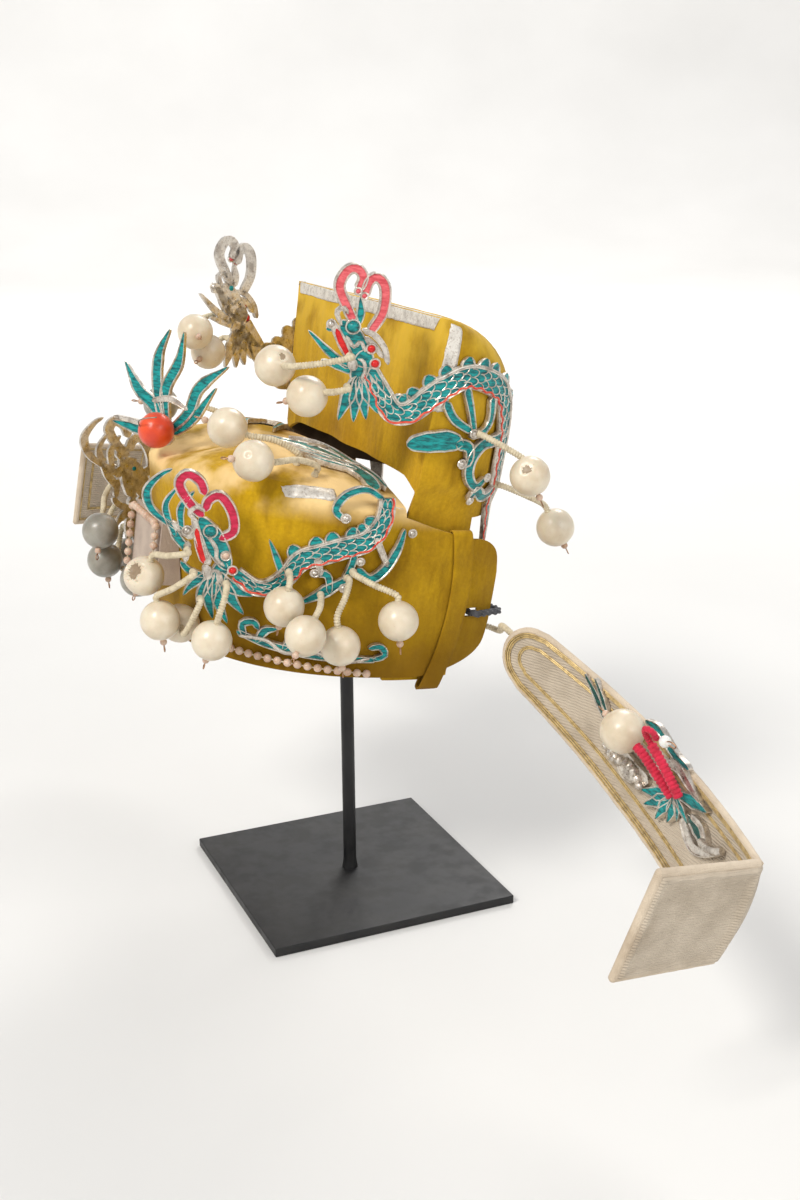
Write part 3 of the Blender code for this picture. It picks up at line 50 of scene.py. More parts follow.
# Sizes that the CAD model has too
GAP = 0.3 * MM
NEST_GAP = 1.9 * MM
PLATE_SIDE = 152 * MM
PLATE_THICKNESS = 5.3 * MM
POST_DIAMETER = 8 * MM
BAR_DIAMETER = 7 * MM
BAR_HEIGHT = 70 * MM
BAR_SETBACK = 3.4 * MM
RIM_HEIGHT = 166 * MM
HEAD_FORWARD = 14.4 * MM
TILT = math.radians(9)
SUEDE = 2.5 * MM
CAP_HALF_WIDTH = 94.5 * MM
CAP_FRONT = 92.5 * MM
CAP_BACK = 115 * MM
CAP_HEIGHT = 93 * MM
CAP_FLARE = 0.045
CAP_FRONT_FLARE = 0.16
CAP_ROUNDNESS = 2.3
SLOT_OFFSET = 3 * MM
SHOULDER_RADIUS = 4 * MM
DOME_RISE = 21 * MM
VALLEY_DEPTH = 8 * MM
VALLEY_HALF_WIDTH = 20 * MM
TAB_LENGTH = 66 * MM
CORD_SLIT = 5 * MM
CORD_SLIT_LENGTH = 8 * MM
CORD_DIAMETER = 3.8 * MM
CROWN_HALF_WIDTH = 110 * MM
CROWN_DEPTH = 75 * MM
CROWN_HEIGHT = 193 * MM
CROWN_ROUNDNESS = 2.5
CROWN_DROP = 3 * MM
PANEL_LIFT = 17.3 * MM
ROOF_EDGE = 3 * MM
GATHER_DEPTH = 2.2 * MM
GATHER_COUNT = 4
STRAP_WIDTH = 12.5 * MM
STRAP_THICKNESS = 1.2 * MM
STRAP_DROP = 7.5 * MM
STRAP_EASE = 0.6 * MM
RELIEF = 2 * MM
STANDOFF = 0.9 * MM
PEARL_RADIUS = 10.5 * MM
STEM_DIAMETER = 3.5 * MM
FIRE_BALL_RADIUS = 9.8 * MM
FLAME_THICKNESS = 1.2 * MM
FLAME_SETBACK = 9.7 * MM
FLAME_TURN = math.radians(40)
WING_PEARL_RADIUS = 11 * MM
BEAD_DIAMETER = 4.4 * MM
BROW_HALF_WIDTH = 27.4 * MM
BROW_LOW = 30 * MM
BROW_HIGH = 65.6 * MM
BROW_DEPTH = 6.5 * MM
WING_LENGTH = 203 * MM
WING_ROOT_WIDTH = 34 * MM
WING_MIDDLE_WIDTH = 47 * MM
WING_END_WIDTH = 54 * MM
WING_THICKNESS = 3 * MM
WING_CUP = 4 * MM
PANEL_LENGTH = 60 * MM
PANEL_WIDTH = 56 * MM

# Sizes of the dressing alone
RIM_WIDTH = 0.95 * MM
RIM_RISE = 0.5 * MM
BELLY_WAVE = 8 * MM
SCALE_PITCH = 4.4 * MM
SCALE_WIRE = 0.3 * MM
SCALE_LIFT = 0.32 * MM
BELLY_SWING = 0.55 * MM
BELLY_LIFT = 0.35 * MM
BELLY_RADIUS = 0.5 * MM
FIN_SIZE = 8.5 * MM
FIN_GAP = 0.3 * MM
STUD_RING = 0.6 * MM
STUD_LIFT = 0.9 * MM
BAND_STEP = 1.6 * MM
THREAD_PITCH = 1.5 * MM
THREAD_RISE = 0.45 * MM
TAPE_WIDTH = 7 * MM
TAPE_LIFT = 0.25 * MM
FOIL_THICKNESS = 0.15 * MM
FOIL_RAGGED = 0.6 * MM
FOIL_SEED = 7
WELD_RISE = 0.9 * MM
BROW_PUFF = 0.7 * MM
WIRE_RADIUS = 0.32 * MM
PEARL_BEAD_RADIUS = 1.9 * MM
FELT_THICKNESS = 2.2 * MM
FELT_ROLL = 5 * MM
ARM_ROLL_RISE = 0.8 * MM
PANEL_ROLL_RISE = 2.2 * MM
ARM_EDGE_RADIUS = 1.75 * MM
PANEL_EDGE_RADIUS = 2.1 * MM
GILT_RADIUS = 0.48 * MM
GILT_PITCH = 1.8 * MM
GILT_LIFT = 0.35 * MM

# The dome, in shares of its length: where it is full, where it starts to fall, and by how much
DOME_FULL = 0.47
DOME_FALL_START = 0.61
DOME_FALL = 0.45

# The cord's slit, in shares of the tab's length and the cap's height
SLIT_ALONG = 0.767
SLIT_HEIGHT = 0.39
SLIT_TURN = 0.3

# The crown above the cap's edge: where it widens, and how its roof rounds off
CROWN_STEP = 2 * MM
CROWN_SHOULDER = 13 * MM
CROWN_SHOULDER_WIDTH = 0.923
ROOF_START = 0.75
ROOF_ROUNDNESS = 2.2
ARCH_WIDTH = 0.925

# Degrees round the crown: from column to column, and along each wall below the cap's edge
CROWN_TURN = 2.5
CROWN_FOOT_SPAN = 30

# How the relief's carriers run on straight ahead of the walls
BROW_TAKE_OFF = 0.51
CARRIER_SLOPE = 0.25

# Soft lumps all over the suede: waves a metre, and shares of the lumps' height
LUMPS = ((42, 1.0), (120, 0.5))

# The studio floor
SWEEP_REACH = 5.2
SWEEP_BEND = 1.4
SWEEP_HEIGHT = 3.2

HEAD_MATRIX = (Matrix.Translation((0, -HEAD_FORWARD, RIM_HEIGHT))
               @ Euler((-TILT, 0, 0)).to_matrix().to_4x4())


# Materials

WHITE = (1, 1, 1)


def shader(name, roughness, metallic=0.0, coat=0.0, sheen=0.0, subsurface=0.0, specular=0.5,
           coat_roughness=0.12):
    """A Principled material, its node tree and its shader."""
    material = bpy.data.materials.new(name)
    material.use_nodes = True
    tree = material.node_tree
    surface = tree.nodes["Principled BSDF"]
    settings = {
        "Roughness": roughness, "Metallic": metallic, "Specular IOR Level": specular,
        "Coat Weight": coat, "Coat Roughness": coat_roughness, "Sheen Weight": sheen,
        "Sheen Roughness": 0.5, "Subsurface Weight": subsurface, "Subsurface Scale": 2 * MM,
    }
    for socket, value in settings.items():
        surface.inputs[socket].default_value = value
    return material, tree, surface


def coordinates(tree, stretch=(1, 1, 1)):
    """Places on the object, in metres, stretched along its axes."""
    place = tree.nodes.new("ShaderNodeTexCoord")
    mapping = tree.nodes.new("ShaderNodeMapping")
    mapping.inputs["Scale"].default_value = stretch
    tree.links.new(place.outputs["Object"], mapping.inputs["Vector"])
    return mapping.outputs["Vector"]


def cloud(tree, vector, size, detail=3.0):
    """Soft noise from 0 to 1 with features of the given size."""
    node = tree.nodes.new("ShaderNodeTexNoise")
    node.inputs["Scale"].default_value = 1 / size
    node.inputs["Detail"].default_value = detail
    tree.links.new(vector, node.inputs["Vector"])
    return node.outputs["Fac"]


def ribs(tree, vector, pitch, direction="X", distortion=0.0):
    """Waves of the given pitch along one axis."""
    node = tree.nodes.new("ShaderNodeTexWave")
    node.wave_type = "BANDS"
    node.bands_direction = direction
    node.inputs["Scale"].default_value = 2 * math.pi / (20 * pitch)
    node.inputs["Distortion"].default_value = distortion
    node.inputs["Detail"].default_value = 1.0
    tree.links.new(vector, node.inputs["Vector"])
    return node.outputs["Fac"]


def ramp(tree, factor, *stops):
    """A colour for each value: stops are (value, colour)."""
    node = tree.nodes.new("ShaderNodeValToRGB")
    elements = node.color_ramp.elements
    while len(elements) < len(stops):
        elements.new(0.5)
    for element, (position, colour) in zip(elements, stops):
        element.position = position
        element.color = (*colour, 1.0)
    tree.links.new(factor, node.inputs["Fac"])
    return node.outputs["Color"]


def mixed(tree, factor, first, second, blend="MIX"):
    """Two colours mixed by a factor, each of the three a socket or a value."""
    node = tree.nodes.new("ShaderNodeMix")
    node.data_type = "RGBA"
    node.blend_type = blend
    for index, value in ((0, factor), (6, first), (7, second)):
        if isinstance(value, bpy.types.NodeSocket):
            tree.links.new(value, node.inputs[index])
        elif index:
            node.inputs[index].default_value = (*value, 1.0)
        else:
            node.inputs[index].default_value = value
    return node.outputs[2]


def span(tree, value, low, high, start=0.0, end=1.0):
    """A value mapped from low..high to start..end, with soft ends."""
    node = tree.nodes.new("ShaderNodeMapRange")
    node.interpolation_type = "SMOOTHSTEP"
    limits = {"From Min": low, "From Max": high, "To Min": start, "To Max": end}
    for socket, limit in limits.items():
        node.inputs[socket].default_value = limit
    tree.links.new(value, node.inputs["Value"])
    return node.outputs["Result"]


def axis_value(tree, vector, axis):
    """One coordinate of a vector."""
    node = tree.nodes.new("ShaderNodeSeparateXYZ")
    tree.links.new(vector, node.inputs["Vector"])
    return node.outputs[axis]


def bumped(tree, surface, height, distance, strength=1.0):
    """Bump from a height of 0 to 1, over the bump that the surface has already."""
    node = tree.nodes.new("ShaderNodeBump")
    node.inputs["Strength"].default_value = strength
    node.inputs["Distance"].default_value = distance
    tree.links.new(height, node.inputs["Height"])
    if surface.inputs["Normal"].is_linked:
        tree.links.new(surface.inputs["Normal"].links[0].from_socket, node.inputs["Normal"])
    tree.links.new(node.outputs["Normal"], surface.inputs["Normal"])


def tinted(colour, red, green, blue):
    """A colour with each channel made darker by a factor of its own."""
    return (red * colour[0], green * colour[1], blue * colour[2])


def suede(name, light, dark, top_colour, top_from, top_to, rim_shade_to=0.0):
    """Suede with soft stains, a streaky nap, shallow creases, a lighter patchy top and painted shade
    at the rim.
    """
    material, tree, surface = shader(name, 0.86, sheen=0.05, specular=0.14)
    place = coordinates(tree)
    drawn = coordinates(tree, (1, 1, 0.22))
    colour = ramp(tree, cloud(tree, place, 42 * MM, 5.0), (0.34, dark), (0.58, light))
    nap = ramp(tree, cloud(tree, place, 1.8 * MM, 6.0), (0.3, (0.70, 0.66, 0.60)), (0.65, WHITE))
    colour = mixed(tree, 0.5, colour, nap, "MULTIPLY")
    streaks = ramp(tree, cloud(tree, drawn, 3.2 * MM, 4.0), (0.32, (0.80, 0.75, 0.66)), (0.6, WHITE))
    colour = mixed(tree, 0.6, colour, streaks, "MULTIPLY")
    grime = span(tree, cloud(tree, drawn, 15 * MM, 6.0), 0.56, 0.72, 0.0, 0.5)
    colour = mixed(tree, grime, colour, tinted(dark, 0.55, 0.48, 0.5))
    # Towards the top the colour turns lighter, in patches.
    height = axis_value(tree, place, "Z")
    raised = span(tree, height, top_from, top_to)
    patches = span(tree, cloud(tree, place, 26 * MM, 4.0), 0.32, 0.60)
    top_mask = tree.nodes.new("ShaderNodeMath")
    top_mask.operation = "MULTIPLY"
    tree.links.new(raised, top_mask.inputs[0])
    tree.links.new(patches, top_mask.inputs[1])
    colour = mixed(tree, top_mask.outputs["Value"], colour, top_colour)
    # Painted shade: the suede turns darker towards the rim, as the low wall looks when it lies in
    # shade.
    if rim_shade_to:
        rim_shade = span(tree, height, -5 * MM, rim_shade_to, 0.85, 0.0)
        colour = mixed(tree, rim_shade, colour, tinted(dark, 0.5, 0.44, 0.4))
    tree.links.new(colour, surface.inputs["Base Color"])
    rubbed = span(tree, cloud(tree, place, 9 * MM), 0.2, 0.8, 0.72, 0.95)
    tree.links.new(rubbed, surface.inputs["Roughness"])
    bumped(tree, surface, cloud(tree, drawn, 11 * MM, 3.0), 1.4 * MM, 0.5)
    bumped(tree, surface, cloud(tree, place, 6 * MM, 4.0), 0.7 * MM, 0.4)
    bumped(tree, surface, cloud(tree, place, 0.6 * MM, 3.0), 0.16 * MM, 0.8)
    return material


def metal_leaf(name, bright, dull, roughness=0.34, crumple=2.2 * MM, metallic=0.9):
    """Thin silvered metal, crumpled a little and tarnished in patches."""
    material, tree, surface = shader(name, roughness, metallic)
    place = coordinates(tree)
    colour = ramp(tree, cloud(tree, place, 5 * MM, 6.0), (0.32, dull), (0.55, bright))
    spots = ramp(tree, cloud(tree, place, 1.1 * MM, 4.0), (0.30, (0.45, 0.36, 0.28)), (0.48, WHITE))
    colour = mixed(tree, 0.6, colour, spots, "MULTIPLY")
    tree.links.new(colour, surface.inputs["Base Color"])
    worn = span(tree, cloud(tree, place, 3 * MM), 0.3, 0.7, roughness - 0.08, roughness + 0.2)
    tree.links.new(worn, surface.inputs["Roughness"])
    bumped(tree, surface, cloud(tree, place, crumple, 4.0), 0.35 * MM, 0.6)
    return material


def enamel(name, deep, light):
    """Painted cells with fine brush streaks and lighter wear."""
    material, tree, surface = shader(name, 0.38, coat=0.08, specular=0.35)
    place = coordinates(tree, (1, 1, 4))
    colour = ramp(tree, cloud(tree, place, 4.5 * MM, 7.0), (0.36, deep), (0.62, light))
    wear = span(tree, cloud(tree, place, 1.6 * MM, 5.0), 0.67, 0.78, 0.0, 0.45)
    colour = mixed(tree, wear, colour, (0.40, 0.46, 0.40))
    tree.links.new(colour, surface.inputs["Base Color"])
    bumped(tree, surface, cloud(tree, place, 1.2 * MM, 4.0), 0.15 * MM, 0.7)
    return material


def lacquer(name, base, warm, speck, roughness=0.33, subsurface=0.1):
    """Lacquered balls with a soft colour drift, fine specks and a clear coat."""
    material, tree, surface = shader(name, roughness, coat=0.25, subsurface=subsurface,
                                     coat_roughness=0.3)
    place = coordinates(tree)
    colour = ramp(tree, cloud(tree, place, 11 * MM, 4.0), (0.35, warm), (0.62, base))
    specks = span(tree, cloud(tree, place, 1.3 * MM, 5.0), 0.68, 0.76, 0.0, 0.55)
    colour = mixed(tree, specks, colour, speck)
    tree.links.new(colour, surface.inputs["Base Color"])
    bumped(tree, surface, cloud(tree, place, 2.5 * MM, 3.0), 0.12 * MM, 0.4)
    return material


def cloth(name, light, dark, stain, pitch, rib_strength=0.5, crossed=0.5):
    """Woven or felted cloth: a weave, crossed or ribbed, fine fuzz and old stains."""
    material, tree, surface = shader(name, 0.9, sheen=0.12, specular=0.25)
    place = coordinates(tree)
    colour = ramp(tree, cloud(tree, place, 14 * MM, 6.0), (0.3, dark), (0.6, light))
    stains = span(tree, cloud(tree, place, 30 * MM, 5.0), 0.56, 0.74, 0.0, 0.6)
    colour = mixed(tree, stains, colour, stain)
    tree.links.new(colour, surface.inputs["Base Color"])
    weave = mixed(tree, crossed, ribs(tree, place, pitch, "Z", 2.5),
                  ribs(tree, place, pitch, "Y", 1.5))
    bumped(tree, surface, weave, 0.35 * MM, rib_strength)
    bumped(tree, surface, cloud(tree, place, 0.9 * MM, 4.0), 0.3 * MM, 0.7)
    return material


def thread(name, light, dark, metallic=0.0, roughness=0.75):
    """Wound or twisted thread; its turns are in the mesh."""
    material, tree, surface = shader(name, roughness, metallic=metallic, sheen=0.15)
    place = coordinates(tree)
    colour = ramp(tree, cloud(tree, place, 3 * MM, 5.0), (0.3, dark), (0.6, light))
    tree.links.new(colour, surface.inputs["Base Color"])
    bumped(tree, surface, cloud(tree, place, 0.35 * MM, 3.0), 0.12 * MM, 0.7)
    return material


def painted_steel(name):
    """Satin black paint with dust and fine scratches."""
    material, tree, surface = shader(name, 0.42, metallic=0.2)
    place = coordinates(tree)
    dust = ramp(tree, cloud(tree, place, 24 * MM, 6.0), (0.40, (0.008, 0.008, 0.009)),
                (0.72, (0.020, 0.019, 0.018)))
    specks = span(tree, cloud(tree, place, 0.8 * MM, 3.0), 0.74, 0.80, 0.0, 0.25)
    colour = mixed(tree, specks, dust, (0.18, 0.17, 0.15))
    tree.links.new(colour, surface.inputs["Base Color"])
    rubbed = span(tree, cloud(tree, place, 12 * MM), 0.3, 0.7, 0.34, 0.55)
    tree.links.new(rubbed, surface.inputs["Roughness"])
    bumped(tree, surface, cloud(tree, place, 0.6 * MM, 2.0), 0.05 * MM, 0.5)
    return material


def floor_paint(name):
    """A matt pale floor with a faint drift."""
    material, tree, surface = shader(name, 0.85)
    place = coordinates(tree)
    colour = ramp(tree, cloud(tree, place, 0.4, 3.0), (0.3, (0.74, 0.73, 0.71)),
                  (0.7, (0.78, 0.77, 0.75)))
    tree.links.new(colour, surface.inputs["Base Color"])
    return material


def looks_of(maker, rows):
    """The materials of one maker, from the values that follow each name."""
    return {name: maker(name, *values) for name, values in rows.items()}


LOOKS = {
    **looks_of(suede, {
        # The cap's last value is how far up from the rim its painted shade reaches.
        "cap_suede": ((0.57, 0.34, 0.008), (0.35, 0.19, 0.004), (0.86, 0.61, 0.28),
                      CAP_HEIGHT - 12 * MM, CAP_HEIGHT + 2 * MM, 0.85 * CAP_HEIGHT),
        # The crown turns a brighter ochre towards its top, in patches.
        "crown_suede": ((0.59, 0.345, 0.012), (0.36, 0.195, 0.006), (0.76, 0.49, 0.045),
                        1.2 * CAP_HEIGHT, 2.3 * CAP_HEIGHT),
        "lining": ((0.10, 0.065, 0.035), (0.055, 0.034, 0.02), (0.12, 0.08, 0.05), 0.0, 0.2),
    }),
    **looks_of(metal_leaf, {
        "silver": ((0.74, 0.69, 0.62), (0.42, 0.37, 0.32)),
        "foil": ((0.84, 0.80, 0.73), (0.60, 0.56, 0.50), 0.45, 1.4 * MM, 0.55),
        "tarnish": ((0.30, 0.255, 0.215), (0.15, 0.125, 0.105), 0.5, 2.2 * MM, 0.6),
        "copper_wire": ((0.50, 0.30, 0.18), (0.26, 0.14, 0.08)),
    }),
    **looks_of(enamel, {
        "teal": ((0.0, 0.085, 0.092), (0.003, 0.32, 0.31)),
        "dark_green": ((0.0, 0.035, 0.028), (0.005, 0.09, 0.07)),
        "coral": ((0.56, 0.055, 0.070), (0.78, 0.15, 0.165)),
        "crimson": ((0.40, 0.006, 0.035), (0.60, 0.02, 0.075)),
        "scarlet": ((0.50, 0.004, 0.006), (0.70, 0.018, 0.014)),
        "belly_red": ((0.62, 0.035, 0.020), (0.82, 0.13, 0.075)),
    }),
    **looks_of(lacquer, {
        "pearl": ((0.74, 0.65, 0.50), (0.62, 0.51, 0.36), (0.40, 0.27, 0.14)),
        # Dark brown inside a pearl's dent: the exposed core, darkened further as painted shade of the
        # hollow.
        "pearl_core": ((0.36, 0.27, 0.17), (0.20, 0.13, 0.07), (0.10, 0.06, 0.03), 0.6, 0.0),
        # Painted shade: a darker copy of the pearl for the far side's front pearls, which lie in
        # shade.
        "grey_pearl": ((0.34, 0.32, 0.27), (0.22, 0.20, 0.16), (0.14, 0.11, 0.08)),
        "seed_bead": ((0.66, 0.48, 0.36), (0.46, 0.29, 0.19), (0.28, 0.16, 0.09)),
        "fire_red": ((0.80, 0.085, 0.018), (0.62, 0.04, 0.010), (0.35, 0.03, 0.01)),
        "glass_bead": ((0.80, 0.79, 0.76), (0.70, 0.69, 0.66), (0.5, 0.5, 0.48)),
    }),
    **looks_of(cloth, {
        "felt": ((0.66, 0.55, 0.42), (0.52, 0.42, 0.31), (0.40, 0.30, 0.20), 0.9 * MM),
        "wing_cloth": ((0.56, 0.475, 0.37), (0.45, 0.375, 0.285), (0.34, 0.26, 0.18),
                       1.5 * MM, 1.0, 0.12),
        "brow_cloth": ((0.50, 0.40, 0.32), (0.40, 0.31, 0.25), (0.32, 0.25, 0.19), 0.7 * MM),
    }),
    **looks_of(thread, {
        "gold_cord": ((0.60, 0.44, 0.19), (0.34, 0.23, 0.09), 0.35, 0.45),
        "cream_thread": ((0.66, 0.57, 0.40), (0.46, 0.38, 0.25)),
        "crimson_thread": ((0.66, 0.012, 0.055), (0.42, 0.006, 0.03)),
        "charcoal_cord": ((0.055, 0.055, 0.062), (0.022, 0.022, 0.026)),
    }),
    "black_steel": painted_steel("black_steel"),
    "floor": floor_paint("floor"),
}


# Making meshes

def path_frames(path, loop=False):
    """Each point of a path with two directions across it that don't twist."""
    count = len(path)
    frames = []
    across = None
    for index, point in enumerate(path):
        before = path[(index - 1) % count] if loop else path[max(index - 1, 0)]
        after = path[(index + 1) % count] if loop else path[min(index + 1, count - 1)]
        along = (after - before).normalized()
        if across is None:
            guide = Vector((0, 0, 1)) if abs(along.z) < 0.9 else Vector((1, 0, 0))
            across = along.cross(guide)
        across = (across - along * across.dot(along)).normalized()
        frames.append((point, across, along.cross(across)))
    return frames


class Form:
    """A mesh in the making. `place` takes each new point to the headdress's frame."""

    def __init__(self, name, place=None):
        """Starts with no points, faces or looks."""
        self.name = name
        self.place = place
        self.points = []
        self.faces = []
        self.marks = []
        self.looks = []

    def mark(self, look):
        """The index of the look's material, which is added if it's new."""
        if look not in self.looks:
            self.looks.append(look)
        return self.looks.index(look)

    def add_points(self, points):
        """Adds points, each in its place."""
        if self.place:
            points = [self.place(point) for point in points]
        self.points.extend(points)

    def loft(self, rings, looks, loop=False):
        """Faces along rings of points: one look, or one for each step round the ring."""
        start = len(self.points)
        count = len(rings[0])
        for ring in rings:
            self.add_points(ring)
        if isinstance(looks, str):
            looks = [looks] * count
        marks = [self.mark(look) for look in looks]
        total = len(rings)
        for row in range(total if loop else total - 1):
            near = start + row * count
            far = start + (row + 1) % total * count
            for step in range(count):
                following = (step + 1) % count
                self.faces.append((near + step, near + following, far + following, far + step))
                self.marks.append(marks[step])
        if not loop:
            self.faces.append(tuple(range(start + count - 1, start - 1, -1)))
            last = start + (total - 1) * count
            self.faces.append(tuple(range(last, last + count)))
            self.marks.extend((marks[0], marks[0]))

    def tube(self, path, radius, look, sides=8, loop=False):
        """A round tube; the radius may be a function of the point's index and the angle."""
        rings = []
        for index, (centre, across, up) in enumerate(path_frames(path, loop)):
            ring = []
            for step in range(sides):
                angle = 2 * math.pi * step / sides
                reach = radius(index, angle) if callable(radius) else radius
                ring.append(centre + (across * math.cos(angle) + up * math.sin(angle)) * reach)
            rings.append(ring)
        self.loft(rings, look, loop=loop)

    def ball(self, centre, radius, look, axis=Vector((0, 0, 1)), segments=12, rows=7, ripple=0.0):
        """A ball turned round its axis; ripple makes it a little uneven."""
        axis = axis.normalized()
        guide = Vector((1, 0, 0)) if abs(axis.x) < 0.8 else Vector((0, 1, 0))
        across = axis.cross(guide).normalized()
        up = axis.cross(across)
        rings = []
        for row in range(rows + 1):
            turn = math.pi * (0.04 + 0.92 * row / rows)
            ring = []
            for step in range(segments):
                angle = 2 * math.pi * step / segments
                ray = ((across * math.cos(angle) + up * math.sin(angle)) * math.sin(turn)
                       - axis * math.cos(turn))
                uneven = 1 + ripple * noise.noise(ray * 2.2 + centre * 90) if ripple else 1
                ring.append(centre + ray * radius * uneven)
            rings.append(ring)
        self.loft(rings, look)

    def finish(self, nodes=(), matrix=HEAD_MATRIX, sharp=45):
        """The object: it rides on the body and stands for the CAD nodes that are named."""
        mesh = bpy.data.meshes.new(self.name)
        mesh.from_pydata([tuple(point) for point in self.points], [], self.faces)
        for look in self.looks:
            mesh.materials.append(LOOKS[look])
        mesh.polygons.foreach_set("material_index", self.marks)
        bm = bmesh.new()
        bm.from_mesh(mesh)
        bmesh.ops.recalc_face_normals(bm, faces=bm.faces)
        bm.to_mesh(mesh)
        bm.free()
        mesh.shade_smooth()
        mesh.set_sharp_from_angle(angle=math.radians(sharp))
        return dress(self.name, mesh, nodes, matrix)


def placed(name, data):
    """A new object in the scene."""
    item = bpy.data.objects.new(name, data)
    bpy.context.scene.collection.objects.link(item)
    return item


def dress(name, mesh, nodes=(), matrix=HEAD_MATRIX):
    """An object for the mesh, riding on the body and the nodes it stands for."""
    item = placed(name, mesh)
    item.matrix_world = matrix
    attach(item, BODY)
    if nodes:
        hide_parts(*nodes)
    return item


def mesh_of(bm, name, *looks):
    """The mesh of a finished bmesh, with its looks."""
    mesh = bpy.data.meshes.new(name)
    bm.to_mesh(mesh)
    bm.free()
    for look in looks:
        mesh.materials.append(LOOKS[look])
    return mesh


def box_mesh(name, matrix, size, *looks):
    """A box of the given size, in its place."""
    bm = bmesh.new()
    bmesh.ops.create_cube(bm, size=1.0, matrix=matrix @ Matrix.Diagonal((*size, 1.0)))
    return mesh_of(bm, name, *looks)


CURVE_STEPS = 12


def spread(line, count):
    """Points evenly spread along a broken line."""
    travelled = np.cumsum([0.0] + [(b - a).length for a, b in zip(line, line[1:])])
    result = []
    for target in np.linspace(0, travelled[-1], count):
        index = min(int(np.searchsorted(travelled, target, side="right")), len(line) - 1)
        stretch = travelled[index] - travelled[index - 1]
        share = (target - travelled[index - 1]) / stretch if stretch else 0.0
        result.append(line[index - 1].lerp(line[index], min(share, 1.0)))
    return result


def smooth_path(points, count):
    """Points evenly spread along a smooth curve through the given ones."""
    control = [Vector(p) for p in points]
    control = [2 * control[0] - control[1], *control, 2 * control[-1] - control[-2]]
    fine = []
    for before, start, end, after in zip(control, control[1:], control[2:], control[3:]):
        for t in np.arange(CURVE_STEPS) / CURVE_STEPS:
            fine.append(0.5 * (2 * start + (end - before) * t
                               + (2 * before - 5 * start + 4 * end - after) * t * t
                               + (3 * start - before - 3 * end + after) * t ** 3))
    fine.append(control[-2])
    return spread(fine, count)


def path_length(points):
    """The length of a broken line."""
    return sum((Vector(b) - Vector(a)).length for a, b in zip(points, points[1:]))


def wrapped(form, path, radius, look, pitch=THREAD_PITCH, sides=10):
    """A stem wound with thread: a broad ridge and a narrow groove for each turn."""
    turns = max(3, round(path_length(path) / pitch))
    fine = smooth_path(path, 3 * turns + 1)
    form.tube(fine, lambda index, angle: radius + THREAD_RISE * (index % 3 > 0), look, sides)


def twisted(form, path, radius, look, pitch, sides, strands=2, loop=False):
    """A twisted cord: strands that turn round its centre."""
    step = path_length(path) / max(len(path) - 1, 1)

    def reach(index, angle):
        """The cord's radius, which swells where a strand passes."""
        turn = 2 * math.pi * index * step / pitch
        return radius * (1 + 0.22 * math.cos(strands * angle - turn))

    form.tube(path, reach, look, sides, loop)


# The shapes of the cap and the crown

def cap_half_width(z):
    """The cap flares a little sideways."""
    return CAP_HALF_WIDTH + CAP_FLARE * z


def cap_front(z):
    """How far the cap reaches ahead of the slot: it flares forward."""
    return CAP_FRONT + CAP_FRONT_FLARE * z


def plan_point(angle, half_width, length, roundness):
    """A point of a superellipse at an angle from straight ahead: across, along."""
    across = half_width * math.copysign(abs(math.sin(angle)) ** (2 / roundness), math.sin(angle))
    along = length * abs(math.cos(angle)) ** (2 / roundness)
    return across, along


def plan_width(along, half_width, length, roundness):
    """Half width of a superellipse at a distance along it."""
    share = min(abs(along) / length, 1.0)
    return half_width * (1 - share ** roundness) ** (1 / roundness)


def cap_side(y, z):
    """x of the cap's left wall, outside."""
    along = y + SLOT_OFFSET
    length = cap_front(z) if along < 0 else CAP_BACK
    return plan_width(along, cap_half_width(z), length, CAP_ROUNDNESS)


def cap_brow(x, z):
    """y of the cap's front wall, outside."""
    return -SLOT_OFFSET - plan_width(x, cap_front(z), cap_half_width(z), CAP_ROUNDNESS)


def dome_height(x, y):
    """z of the dome: two soft lobes with a shallow valley that fades towards the slot."""
    half_width = cap_half_width(CAP_HEIGHT)
    front = cap_front(CAP_HEIGHT)
    along = min(max((y + SLOT_OFFSET + front) / front, 0.0), 1.0)
    rise = min(along / DOME_FULL, 1.0) ** 0.6
    back = 1 - DOME_FALL * max(0.0, (along - DOME_FALL_START) / (1 - DOME_FALL_START)) ** 2
    across = max(0.0, 1 - (abs(x) / half_width) ** 2.4)
    valley = VALLEY_DEPTH * 2.2 * along ** 0.7 * (1 - along)
    return CAP_HEIGHT + DOME_RISE * across * rise * back - valley * math.exp(
        -(x / VALLEY_HALF_WIDTH) ** 2)


def crown_half_width(z):
    """The crown's lower wall nests in the cap, and its upper part stands wider than the cap."""
    nested = cap_half_width(min(z, CAP_HEIGHT)) - SUEDE - NEST_GAP
    step = CAP_HEIGHT + CROWN_STEP
    shoulder = CAP_HEIGHT + CROWN_SHOULDER
    if z <= step:
        return nested
    above = (z - shoulder) / (CROWN_HEIGHT - shoulder)
    wide = CROWN_HALF_WIDTH * (CROWN_SHOULDER_WIDTH + (1 - CROWN_SHOULDER_WIDTH) * above)
    if z >= shoulder:
        return wide
    share = (z - step) / (shoulder - step)
    return nested + (wide - nested) * share


def roof_share(z):
    """How far back the hood reaches: 1 below the roof, and a narrow edge at the crown's top."""
    start = ROOF_START * CROWN_HEIGHT
    share = min(max((z - start) / (CROWN_HEIGHT - start), 0.0), 1.0)
    return max((1 - share ** ROOF_ROUNDNESS) ** (1 / ROOF_ROUNDNESS), ROOF_EDGE / CROWN_DEPTH)


def crown_side(y, z):
    """x of the crown's left wall, outside, for y behind the slot."""
    return plan_width(y, crown_half_width(z), CROWN_DEPTH * roof_share(z), CROWN_ROUNDNESS)


